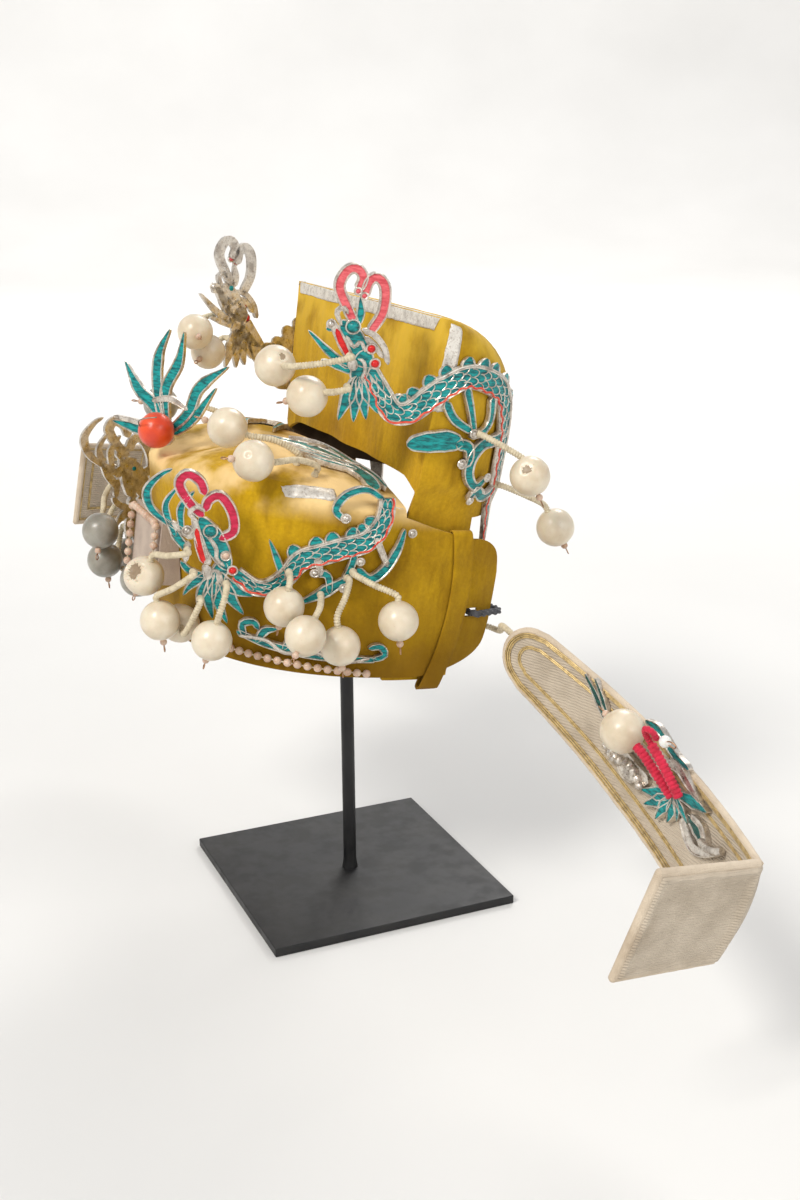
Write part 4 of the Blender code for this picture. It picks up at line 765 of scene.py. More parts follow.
def front_carrier(y, z):
    """The cap's side, which runs on straight ahead where the wall turns to the brow."""
    take_off = -BROW_TAKE_OFF * cap_front(CAP_HEIGHT)
    if y >= take_off:
        return Vector((cap_side(y, z), y, z))
    step = 0.1 * MM
    slope = (cap_side(take_off + step, z) - cap_side(take_off - step, z)) / (2 * step)
    return Vector((cap_side(take_off, z) + (y - take_off) * min(slope, CARRIER_SLOPE), y, z))


def rear_carrier(y, z):
    """The crown's side, which runs on straight ahead of the slot."""
    if y >= 0:
        return Vector((crown_side(y, z), y, z))
    return Vector((crown_half_width(z) + CARRIER_SLOPE * y, y, z))


def dome_carrier(x, y):
    """The dome's top."""
    return Vector((x, y, dome_height(x, y)))


def carrier_normal(carrier, a, b, hint):
    """The carrier's direction outwards, on the hint's side."""
    step = 0.5 * MM
    along_a = carrier(a + step, b) - carrier(a - step, b)
    along_b = carrier(a, b + step) - carrier(a, b - step)
    normal = along_a.cross(along_b).normalized()
    return normal if normal.dot(hint) > 0 else -normal


# How high a relief's lower face and its plain top lie above its carrier
RELIEF_BASE = STANDOFF
RELIEF_TOP = STANDOFF + RELIEF

Carrier = namedtuple("Carrier", "surface scale hint reach cover")
CAP_REACH = (CAP_HALF_WIDTH, cap_front(CAP_HEIGHT), CAP_HEIGHT)
STEM_LIFT = RELIEF_TOP + 0.5 * MM
CARRIERS = {
    "front": Carrier(front_carrier, CAP_REACH[1:], Vector((1, 0, 0)), CAP_REACH, STEM_LIFT),
    "rear": Carrier(rear_carrier, (CROWN_DEPTH, CROWN_HEIGHT), Vector((1, 0, 0)),
                    (CROWN_HALF_WIDTH, CROWN_DEPTH, CROWN_HEIGHT), STEM_LIFT),
    "dome": Carrier(dome_carrier, CAP_REACH[:2], Vector((0, 0, 1)), CAP_REACH, GAP),
}


def on_carrier(carrier, a, b, height):
    """The point at a height above the carrier."""
    return carrier.surface(a, b) + carrier_normal(carrier.surface, a, b, carrier.hint) * height


# Suede shells

# Dents, in shares of the shell's reach, and radius and depth in shares of its half width
Dent = namedtuple("Dent", "place radius depth")
CAP_DENTS = [
    Dent((0.96, -0.73, 1.02), 0.13, -0.020),
    Dent((0.99, -0.53, 1.00), 0.12, 0.018),
    Dent((0.98, -0.30, 0.55), 0.22, -0.014),
    Dent((-0.93, -0.70, 1.02), 0.15, -0.016),
    Dent((0.40, -0.96, 0.35), 0.22, -0.010),
]
CROWN_DENTS = [
    Dent((0.55, 0.97, 0.70), 0.30, -0.022),
    Dent((-0.60, 0.90, 0.62), 0.30, -0.020),
    Dent((0.98, 0.30, 0.45), 0.22, -0.010),
]

# The tab's outline, in shares of its length and of the cap's height
TabRow = namedtuple("TabRow", "length_share top_share bottom_share")
TAB_ROWS = [
    TabRow(0.0, 0.957, 0.0),
    TabRow(0.13, 0.93, 0.0),
    TabRow(0.28, 0.90, 0.0),
    TabRow(0.46, 0.87, 0.02),
    TabRow(0.64, 0.84, 0.055),
    TabRow(0.80, 0.83, 0.10),
    TabRow(0.91, 0.79, 0.15),
    TabRow(0.97, 0.73, 0.21),
    TabRow(1.0, 0.63, 0.33),
]

# The front panel's lower edge, in shares of its half width and of its lift at the middle
PanelArch = namedtuple("PanelArch", "width_share lift_share")
PANEL_ARCH = [
    PanelArch(0.0, 1.0),
    PanelArch(0.5, 1.0),
    PanelArch(0.78, 0.9),
    PanelArch(1.0, 0.46),
]


def push_points(bm, dents, scale, height):
    """Soft lumps all over and the dents, along the surface's own normals."""
    bm.normal_update()
    moves = []
    for vertex in bm.verts:
        push = sum(height * share * noise.noise(vertex.co * waves) for waves, share in LUMPS)
        for dent in dents:
            away = vertex.co - Vector(dent.place) * Vector(scale)
            reach = dent.radius * scale[0]
            push += dent.depth * scale[0] * math.exp(-(away.length / reach) ** 2)
        moves.append(vertex.normal * push)
    for vertex, move in zip(bm.verts, moves):
        vertex.co += move


def grid_faces(bm, grid):
    """Quads between the rows of a grid of vertices, where a row and the next differ."""
    for low, high in zip(grid, grid[1:]):
        for left in range(len(low) - 1):
            corners = []
            for vertex in (low[left], low[left + 1], high[left + 1], high[left]):
                if vertex not in corners:
                    corners.append(vertex)
            if len(corners) >= 3:
                bm.faces.new(corners)


def thickened(item, thickness, offset):
    """Gives a sheet its thickness: offset -1 is inwards, 0 both ways and 1 outwards."""
    shell = item.modifiers.new("Shell", "SOLIDIFY")
    shell.thickness = thickness
    shell.offset = offset
    return shell


def shell_object(bm, name, look, nodes):
    """A suede wall inside the surface, with the lining on its inner face."""
    mesh = mesh_of(bm, name, look, "lining")
    mesh.shade_smooth()
    item = dress(name, mesh, nodes)
    shell = thickened(item, SUEDE, -1)
    shell.material_offset = 1
    return item


def soft_edge(item, width, segments):
    """Rounds the wall's edges."""
    edge = item.modifiers.new("Soft edge", "BEVEL")
    edge.width = width
    edge.segments = segments
    edge.limit_method = "ANGLE"
    edge.angle_limit = math.radians(50)


def tab_outline(share):
    """Bottom and top of the tab at a share of its length, on a smooth line."""
    rows = [Vector((row.length_share, row.top_share, row.bottom_share)) for row in TAB_ROWS]
    fine = smooth_path(rows, 80)
    lengths = [point.x for point in fine]
    top = float(np.interp(share, lengths, [point.y for point in fine]))
    bottom = float(np.interp(share, lengths, [point.z for point in fine]))
    return bottom * CAP_HEIGHT, top * CAP_HEIGHT


def cap_wall_column(angle, shares):
    """Points up the cap's wall, at shares of the height below the shoulder."""
    column = []
    for share in shares:
        z = share * (CAP_HEIGHT - SHOULDER_RADIUS)
        x, along = plan_point(angle, cap_half_width(z), cap_front(z), CAP_ROUNDNESS)
        column.append(Vector((x, -SLOT_OFFSET - along, z)))
    return column


def cap_dome_column(angle, plan_shares):
    """Points from the shoulder to near the dome's pole, which lies on the slot edge."""
    x, along = plan_point(angle, cap_half_width(CAP_HEIGHT), cap_front(CAP_HEIGHT), CAP_ROUNDNESS)
    radius = math.hypot(x, along)
    column = []
    for turn in range(18, 91, 18):
        inset = SHOULDER_RADIUS * (1 - math.cos(math.radians(turn)))
        share = 1 - inset / radius
        rise = SHOULDER_RADIUS * (1 - math.sin(math.radians(turn)))
        lift = dome_height(share * x, -SLOT_OFFSET - share * along) - CAP_HEIGHT
        column.append(Vector((share * x, -SLOT_OFFSET - share * along,
                              CAP_HEIGHT - rise + lift * turn / 90)))
    for share in plan_shares:
        px, py = share * x, -SLOT_OFFSET - share * along
        column.append(Vector((px, py, dome_height(px, py))))
    return column


def tab_column(side, share, shares):
    """Points up a tab, at a share of its length."""
    y = share * TAB_LENGTH - SLOT_OFFSET
    bottom, top = tab_outline(share)
    heights = [bottom + height_share * (top - bottom) for height_share in shares]
    return [Vector((side * cap_side(y, z), y, z)) for z in heights]


def slit_centre():
    """y and z of the cord's slit in a tab."""
    return SLIT_ALONG * TAB_LENGTH - SLOT_OFFSET, SLIT_HEIGHT * CAP_HEIGHT


def cord_slit(side):
    """A box that cuts the cord's slit through a tab."""
    y, z = slit_centre()
    x = cap_side(y, z) - SUEDE / 2
    matrix = Matrix.Translation((side * x, y, z)) @ Matrix.Rotation(-side * SLIT_TURN, 4, "Z")
    size = (5 * SUEDE, CORD_SLIT_LENGTH, CORD_SLIT)
    tool = placed(f"cord_slit_{side}", box_mesh("cord_slit", matrix, size))
    tool.matrix_world = HEAD_MATRIX
    return tool


def apply_modifiers(item, sharp):
    """Makes the item's modifiers a part of its mesh, smooth but for edges sharper than an angle."""
    bpy.context.view_layer.update()
    depsgraph = bpy.context.evaluated_depsgraph_get()
    mesh = bpy.data.meshes.new_from_object(item.evaluated_get(depsgraph), depsgraph=depsgraph)
    item.modifiers.clear()
    item.data = mesh
    mesh.shade_smooth()
    mesh.set_sharp_from_angle(angle=math.radians(sharp))


def cap():
    """The domed cap with its tabs, slits for the cord and the dents that the photo shows."""
    bm = bmesh.new()
    shares = np.linspace(0, 1, 15)
    angles = np.radians(np.linspace(-90, 90, 97))
    walls = [[bm.verts.new(p) for p in cap_wall_column(a, shares)] for a in angles]
    plan_shares = [0.945, 0.92, *np.linspace(0.88, 0.06, 17)]
    domes = [[bm.verts.new(p) for p in cap_dome_column(a, plan_shares)] for a in angles]
    tab_shares = np.sin(np.linspace(0, math.pi / 2, 27))[1:]
    right = [[bm.verts.new(p) for p in tab_column(-1, s, shares)] for s in reversed(tab_shares)]
    left = [[bm.verts.new(p) for p in tab_column(1, s, shares)] for s in tab_shares]
    pole = bm.verts.new((0, -SLOT_OFFSET, dome_height(0, -SLOT_OFFSET)))
    columns = right + walls + left
    grid_faces(bm, [[column[i] for column in columns] for i in range(len(shares))])
    grid_faces(bm, [[wall[-1] for wall in walls]]
               + [[dome[i] for dome in domes] for i in range(len(domes[0]))]
               + [[pole] * len(domes)])
    push_points(bm, CAP_DENTS, CAP_REACH, 0.25 * MM)
    item = shell_object(bm, "cap_shell", "cap_suede", ["front_cap"])
    tools = [cord_slit(side) for side in (1, -1)]
    for tool in tools:
        cut = item.modifiers.new(tool.name, "BOOLEAN")
        cut.operation = "DIFFERENCE"
        cut.object = tool
        cut.solver = "EXACT"
    apply_modifiers(item, 40)
    for tool in tools:
        bpy.data.objects.remove(tool, do_unlink=True)
    return item


def panel_bottom(x):
    """Height of the front panel's lower edge."""
    share = min(abs(x) / (ARCH_WIDTH * CROWN_HALF_WIDTH), 1.0)
    lift = np.interp(share, [row.width_share for row in PANEL_ARCH],
                     [row.lift_share for row in PANEL_ARCH])
    return CAP_HEIGHT + float(lift) * PANEL_LIFT


def crown_point(angle, z):
    """A point of the hood at an angle from straight behind."""
    x, along = plan_point(angle, crown_half_width(z), CROWN_DEPTH * roof_share(z),
                          CROWN_ROUNDNESS)
    return Vector((x, along, z))


def crown_levels():
    """Heights of the hood's rows: one under the cap's edge, up the wall, and over the roof."""
    start = ROOF_START * CROWN_HEIGHT
    levels = [CAP_HEIGHT - 5 * MM, *np.linspace(panel_bottom(CROWN_HALF_WIDTH), start, 15)]
    for turn in range(6, 90, 6):
        rise = math.sin(math.radians(turn)) ** (2 / ROOF_ROUNDNESS)
        levels.append(start + (CROWN_HEIGHT - start) * rise)
    return levels


def crown_foot(bm, angles, level, edge):
    """The crown's wall on one side, from its lower edge up to the hood's first row."""
    rows = []
    for share in np.linspace(0, 1, 14)[:-1]:
        z = -CROWN_DROP + share * (level + CROWN_DROP)
        rows.append([bm.verts.new(crown_point(angle, z)) for angle in angles])
    grid_faces(bm, rows + [edge])


def gathered_panel(bm, levels, hood, top):
    """The front panel between the hood's two edges, with gathers that fade towards the top."""
    foot = levels[0]
    across_shares = np.linspace(-1, 1, len(top))[1:-1]
    panel = []
    for level, edge in zip(levels, hood):
        height = (level - foot) / (CROWN_HEIGHT - foot)
        row = [edge[0]]
        for across in across_shares:
            low = panel_bottom(across * crown_half_width(foot))
            z = low + height * (CROWN_HEIGHT - low)
            fold = 0.5 + 0.5 * math.cos(math.pi * GATHER_COUNT * across)
            depth = GATHER_DEPTH * (1 - height) ** 0.5 * (1 - across ** 4) * fold
            row.append(bm.verts.new((across * crown_half_width(z), -depth, z)))
        panel.append([*row, edge[-1]])
    panel_top = [bm.verts.new((across * CROWN_HALF_WIDTH, 0, CROWN_HEIGHT))
                 for across in across_shares]
    panel.append([top[0], *panel_top, top[-1]])
    grid_faces(bm, [top, panel[-1]])
    grid_faces(bm, [list(reversed(row)) for row in panel])


def crown():
    """The tall crown: side walls, hood with a rolled roof, and the gathered front panel."""
    bm = bmesh.new()
    angles = [math.radians(turn) for turn in np.arange(-90, 90.1, CROWN_TURN)]
    levels = crown_levels()
    hood = [[bm.verts.new(crown_point(a, z)) for a in angles] for z in levels]
    top = [bm.verts.new(crown_point(a, CROWN_HEIGHT)) for a in angles]
    grid_faces(bm, hood + [top])
    width = int(CROWN_FOOT_SPAN / CROWN_TURN) + 1
    for ends in (slice(None, width), slice(-width, None)):
        crown_foot(bm, angles[ends], levels[0], hood[0][ends])
    gathered_panel(bm, levels[1:], hood[1:], top)
    bmesh.ops.recalc_face_normals(bm, faces=bm.faces)
    push_points(bm, CROWN_DENTS, CARRIERS["rear"].reach, 0.35 * MM)
    item = shell_object(bm, "crown_shell", "crown_suede", ["rear_crown"])
    apply_modifiers(item, 50)
    return item


# Silver strips by name: what each lies on, its corners in millimetres (the low and the high one at
# its start and at its end), and its columns and rows
Foil = namedtuple("Foil", "base corners columns rows")
TAPE_LOW = (CROWN_HEIGHT - TAPE_WIDTH) / MM
TAPE_HIGH = CROWN_HEIGHT / MM + 1.4
FOILS = {
    "crown_top_foil": Foil("crown", ((-105, -2, TAPE_LOW), (-107, 1, TAPE_HIGH),
                                     (94, -2, TAPE_LOW), (100, 1, TAPE_HIGH)), 70, 8),
    "crown_corner_foil": Foil("crown", ((112, -1, 146), (112, 7.5, 146),
                                        (114, 1, 191), (114, 10, 191)), 26, 6),
    "dome_foil": Foil("cap", ((83, -69, 100), (90, -70, 96),
                              (86, -40, 101), (94.5, -41, 96)), 24, 6),
    "slot_foil": Foil("cap", ((95, -10, 86), (95.5, -10, 94),
                              (95.5, -4.5, 84), (96, -4.5, 93)), 8, 6),
}


def foil_patch(name, foil, base):
    """A strip of silver foil with ragged edges, pressed on the suede."""
    noise.seed_set(FOIL_SEED)
    start_low, start_high, end_low, end_high = [Vector(corner) * MM for corner in foil.corners]
    bm = bmesh.new()
    grid = []
    for row in range(foil.rows):
        v = row / (foil.rows - 1)
        line = []
        for column in range(foil.columns):
            u = column / (foil.columns - 1)
            point = start_low.lerp(end_low, u).lerp(start_high.lerp(end_high, u), v)
            if row in (0, foil.rows - 1) or column in (0, foil.columns - 1):
                point += noise.noise_vector(point * 700) * FOIL_RAGGED
            line.append(bm.verts.new(point))
        grid.append(line)
    grid_faces(bm, grid)
    item = dress(name, mesh_of(bm, name, "foil"))
    wrap = item.modifiers.new("On the suede", "SHRINKWRAP")
    wrap.target = base
    wrap.wrap_method = "NEAREST_SURFACEPOINT"
    wrap.wrap_mode = "OUTSIDE_SURFACE"
    wrap.offset = TAPE_LIFT
    thickened(item, FOIL_THICKNESS, 1)
    apply_modifiers(item, 180)


# Straps, cord and stand

# The strap's line up the tab: its place at the rim, its lean and its bend
STRAP_LINE = (0.435, 0.508, -0.503)


def strap_centre(z):
    """y of the strap's middle: it leans forward towards the rim."""
    share = z / CAP_HEIGHT
    place, lean, bend = STRAP_LINE
    return TAB_LENGTH * (place + lean * share + bend * share ** 2)


def strap_row(side, offset, share, edges):
    """Points across the strap, at a share of its height and an offset from the tab's face."""
    low = -STRAP_DROP + STRAP_THICKNESS / 2
    high_centre = strap_centre(0.83 * CAP_HEIGHT)
    top = max(tab_outline((high_centre + edge * STRAP_WIDTH + SLOT_OFFSET) / TAB_LENGTH)[1]
              for edge in (-0.5, 0.0, 0.5))
    z = low + share * (top + STRAP_THICKNESS / 2 + STRAP_EASE - low)
    row = []
    for edge in edges:
        y = strap_centre(z) + edge * STRAP_WIDTH
        row.append(Vector((side * (cap_side(y, max(z, 0)) + offset), y, z)))
    return row


def loop_strap(side, word):
    """A closed suede loop round the tab: up outside, over the top, down inside and under."""
    out = STRAP_THICKNESS / 2 + STRAP_EASE
    middle, inside = -SUEDE / 2, -SUEDE - out
    heights = list(np.linspace(0.03, 0.965, 22))
    crest = [(0.8 * out, 0.99), (0.2 * out, 1.0), (middle, 1.004),
             (inside + 0.8 * out, 1.0), (inside + 0.2 * out, 0.99)]
    foot = [(inside + 0.4 * out, 0.01), (middle, 0.0), (0.6 * out, 0.01)]
    places = ([(out, share) for share in heights] + crest
              + [(inside, share) for share in reversed(heights)] + foot)
    edges = np.linspace(-0.5, 0.5, 7)
    bm = bmesh.new()
    rows = [[bm.verts.new(p) for p in strap_row(side, *place, edges)] for place in places]
    grid_faces(bm, rows + rows[:1])
    bmesh.ops.recalc_face_normals(bm, faces=bm.faces)
    mesh = mesh_of(bm, f"strap_{word}", "cap_suede")
    mesh.shade_smooth()
    item = dress(f"strap_{word}", mesh, [f"loop_strap_{word}"])
    thickened(item, STRAP_THICKNESS, 0)
    soft_edge(item, 0.3 * MM, 2)


def tie_cord():
    """One cord: out through each tab's slit, round the tab's end and across the open back."""
    y, z = slit_centre()
    radius = CORD_DIAMETER / 2
    end = TAB_LENGTH - SLOT_OFFSET
    slit_x, end_x = cap_side(y, z), cap_side(end, z)
    out = SUEDE / 2 + radius + 2 * GAP
    half = [
        Vector((slit_x - SUEDE - 6 * MM, y - 1.2 * MM, z)),
        Vector((slit_x - SUEDE / 2, y, z)),
        Vector((slit_x + 3.0 * MM, y + 3.4 * MM, z)),
        Vector((end_x + SUEDE / 2 + out, end - 3 * MM, z)),
        Vector((end_x + SUEDE / 2, end + out + 1 * MM, z)),
        Vector((end_x - SUEDE - out - 4 * MM, end + out + 1.5 * MM, z - 1 * MM)),
        Vector((0.55 * CAP_HALF_WIDTH, end + 9 * MM, z - 6 * MM)),
        Vector((0.25 * CAP_HALF_WIDTH, end + 12 * MM, z - 11 * MM)),
    ]
    middle = Vector((0, end + 13 * MM, z - 12.5 * MM))
    mirror = Vector((-1, 1, 1))
    path = smooth_path([*half, middle, *[point * mirror for point in reversed(half)]], 420)
    form = Form("back_cord")
    twisted(form, path, 0.9 * radius, "charcoal_cord", 5 * MM, 14, strands=3)
    for knot in (path[0], path[-1]):
        form.ball(knot, 1.5 * radius, "charcoal_cord", ripple=0.3)
    form.finish(["tie_cord"])


def stand():
    """A bevelled square plate, a post with a weld bead at its foot, and a crossbar."""
    level = Matrix.Identity(4)
    size = (PLATE_SIDE, PLATE_SIDE, PLATE_THICKNESS)
    mesh = box_mesh("plate", Matrix.Translation((0, 0, PLATE_THICKNESS / 2)), size, "black_steel")
    soft_edge(dress("plate", mesh, ["stand_base"], level), 0.6 * MM, 3)
    centre = HEAD_MATRIX @ Vector((0, BAR_SETBACK, BAR_HEIGHT))
    foot = Vector((0, centre.y, PLATE_THICKNESS))
    reach = crown_side(BAR_SETBACK, BAR_HEIGHT) - SUEDE - 4 * GAP
    form = Form("post_and_bar")
    form.tube([foot.lerp(centre, share) for share in np.linspace(0, 1, 40)],
              lambda index, angle: POST_DIAMETER / 2 + (WELD_RISE if index == 0 else 0),
              "black_steel", 28)
    form.tube([centre + Vector((x, 0, 0)) for x in np.linspace(-reach, reach, 40)],
              BAR_DIAMETER / 2, "black_steel", 28)
    form.ball(centre, BAR_DIAMETER / 2 + WELD_RISE, "black_steel", segments=24, rows=12)
    form.finish(["stand_post"], level)


# Relief: bands of metal with raised rims and painted cells

# A stroke: widths in millimetres from its start to its end, its lift in millimetres, the look
# between its rims, and its path in shares of the carrier's scale
Stroke = namedtuple("Stroke", "widths lift fill points")

FRONT_DRAGON = {
    "body": Stroke((8, 10, 12, 12.5, 12, 9), 0.0, "body", (
        (-0.80, 0.56), (-0.70, 0.49), (-0.62, 0.51), (-0.56, 0.58), (-0.51, 0.67), (-0.42, 0.72),
        (-0.32, 0.77), (-0.23, 0.81), (-0.175, 0.88), (-0.15, 0.97), (-0.155, 1.07))),
    "brow": Stroke((5, 12, 11, 6), 0.25, "teal", (
        (-1.00, 0.86), (-0.95, 0.78), (-0.89, 0.68), (-0.84, 0.58))),
    "snout": Stroke((3, 4.5, 4), 0.9, "silver", ((-1.03, 0.86), (-0.99, 0.74), (-0.93, 0.60))),
    "tongue": Stroke((3.4, 4.4, 3.8), 1.3, "scarlet", (
        (-1.01, 0.80), (-0.99, 0.71), (-0.955, 0.61))),
    "cheek": Stroke((8, 9, 5), 0.1, "teal", ((-0.86, 0.62), (-0.89, 0.52), (-0.90, 0.42))),
    "jaw": Stroke((2.5, 4, 3), 0.15, "teal", ((-0.92, 0.53), (-1.01, 0.55), (-1.06, 0.60))),
    "jaw_fin": Stroke((4, 5, 1.2), 0.05, "teal", ((-1.03, 0.66), (-1.10, 0.75), (-1.15, 0.84))),
    "jaw_link": Stroke((3, 4), 0.3, "silver", ((-1.04, 0.60), (-1.04, 0.72))),
    "nose": Stroke((4, 5), 0.5, "silver", ((-1.06, 0.76), (-1.00, 0.80))),
    "brow_line": Stroke((1.6, 2.2, 2, 1.6), 0.8, "silver", (
        (-0.96, 0.77), (-0.91, 0.70), (-0.90, 0.64), (-0.86, 0.60))),
    "snout_curl": Stroke((2, 2.4, 2), 1.1, "silver", (
        (-1.01, 0.84), (-1.05, 0.88), (-1.02, 0.92), (-0.98, 0.90))),
    "cheek_line": Stroke((1.6, 2, 1.6), 0.7, "silver", (
        (-0.93, 0.56), (-0.89, 0.57), (-0.87, 0.53), (-0.89, 0.49))),
    "crest_left": Stroke((5.2, 5.8, 5.2), 0.5, "crimson", (
        (-0.985, 0.87), (-1.05, 0.93), (-1.11, 1.03), (-1.08, 1.09), (-1.02, 1.06),
        (-0.99, 0.99))),
    "crest_right": Stroke((5.2, 5.8, 5.2), 0.6, "crimson", (
        (-0.98, 0.90), (-0.97, 0.96), (-0.92, 0.99), (-0.86, 0.91), (-0.84, 0.80), (-0.90, 0.75))),
    "plume_low": Stroke((2.5, 5, 1.4), 0.15, "teal", (
        (-1.13, 0.80), (-1.22, 0.88), (-1.25, 0.98), (-1.20, 1.07), (-1.15, 1.11))),
    "plume_mid": Stroke((2.5, 4, 1.4), 0.2, "teal", (
        (-1.10, 0.74), (-1.16, 0.90), (-1.12, 1.01))),
    "plume_high": Stroke((2.5, 4.2, 1.4), 0.1, "teal", (
        (-1.07, 0.76), (-1.09, 0.90), (-1.04, 1.00))),
    "plume_root": Stroke((3, 4), 0.05, "silver", ((-1.14, 0.82), (-1.02, 0.74))),
    "beard_1": Stroke((4, 7, 1), 0.12, "teal", ((-0.89, 0.56), (-0.80, 0.47), (-0.71, 0.44))),
    "beard_2": Stroke((5, 7.5, 1.2), 0.2, "teal", ((-0.88, 0.56), (-0.81, 0.42), (-0.74, 0.33))),
    "beard_3": Stroke((5, 7.5, 1.2), 0.3, "teal", ((-0.89, 0.56), (-0.86, 0.38), (-0.81, 0.27))),
    "beard_4": Stroke((5, 7.5, 1.2), 0.22, "teal", ((-0.90, 0.56), (-0.91, 0.40), (-0.88, 0.29))),
    "beard_5": Stroke((5, 6, 1), 0.14, "teal", ((-0.91, 0.56), (-0.95, 0.42), (-0.95, 0.33))),
    "beard_6": Stroke((4, 5, 1), 0.24, "teal", ((-0.92, 0.56), (-1.00, 0.47), (-1.03, 0.41))),
    "lip": Stroke((4.6, 5.0), 1.9, "silver", ((-0.945, 0.60), (-0.925, 0.52))),
    "spike": Stroke((4, 4, 1.2), 0.1, "teal", ((-0.58, 0.56), (-0.62, 0.66), (-0.67, 0.77))),
    "curl": Stroke((3, 4, 4.5, 3.5), 0.15, "teal", (
        (-0.17, 1.06), (-0.26, 1.11), (-0.35, 1.07), (-0.39, 0.98), (-0.33, 0.92))),
    "leaf_right": Stroke((2, 5.5, 6, 4), 0.12, "teal", (
        (-0.04, 0.90), (-0.06, 0.78), (-0.11, 0.66), (-0.18, 0.60), (-0.25, 0.66))),
    "leaf_link": Stroke((3, 4), 0.2, "silver", ((-0.10, 0.68), (-0.18, 0.84))),
    "claw": Stroke((4, 4, 4.5), 0.3, "teal", ((-0.27, 0.74), (-0.28, 0.66), (-0.30, 0.58))),
    "low_leaf": Stroke((2, 7, 3), 0.18, "teal", ((-0.49, 0.42), (-0.39, 0.50), (-0.27, 0.61))),
    "low_curl": Stroke((3, 4, 4.5), 0.1, "teal", ((-0.36, 0.50), (-0.38, 0.60), (-0.44, 0.61))),
    "low_link": Stroke((3, 4), 0.25, "silver", ((-0.41, 0.60), (-0.44, 0.70))),
}

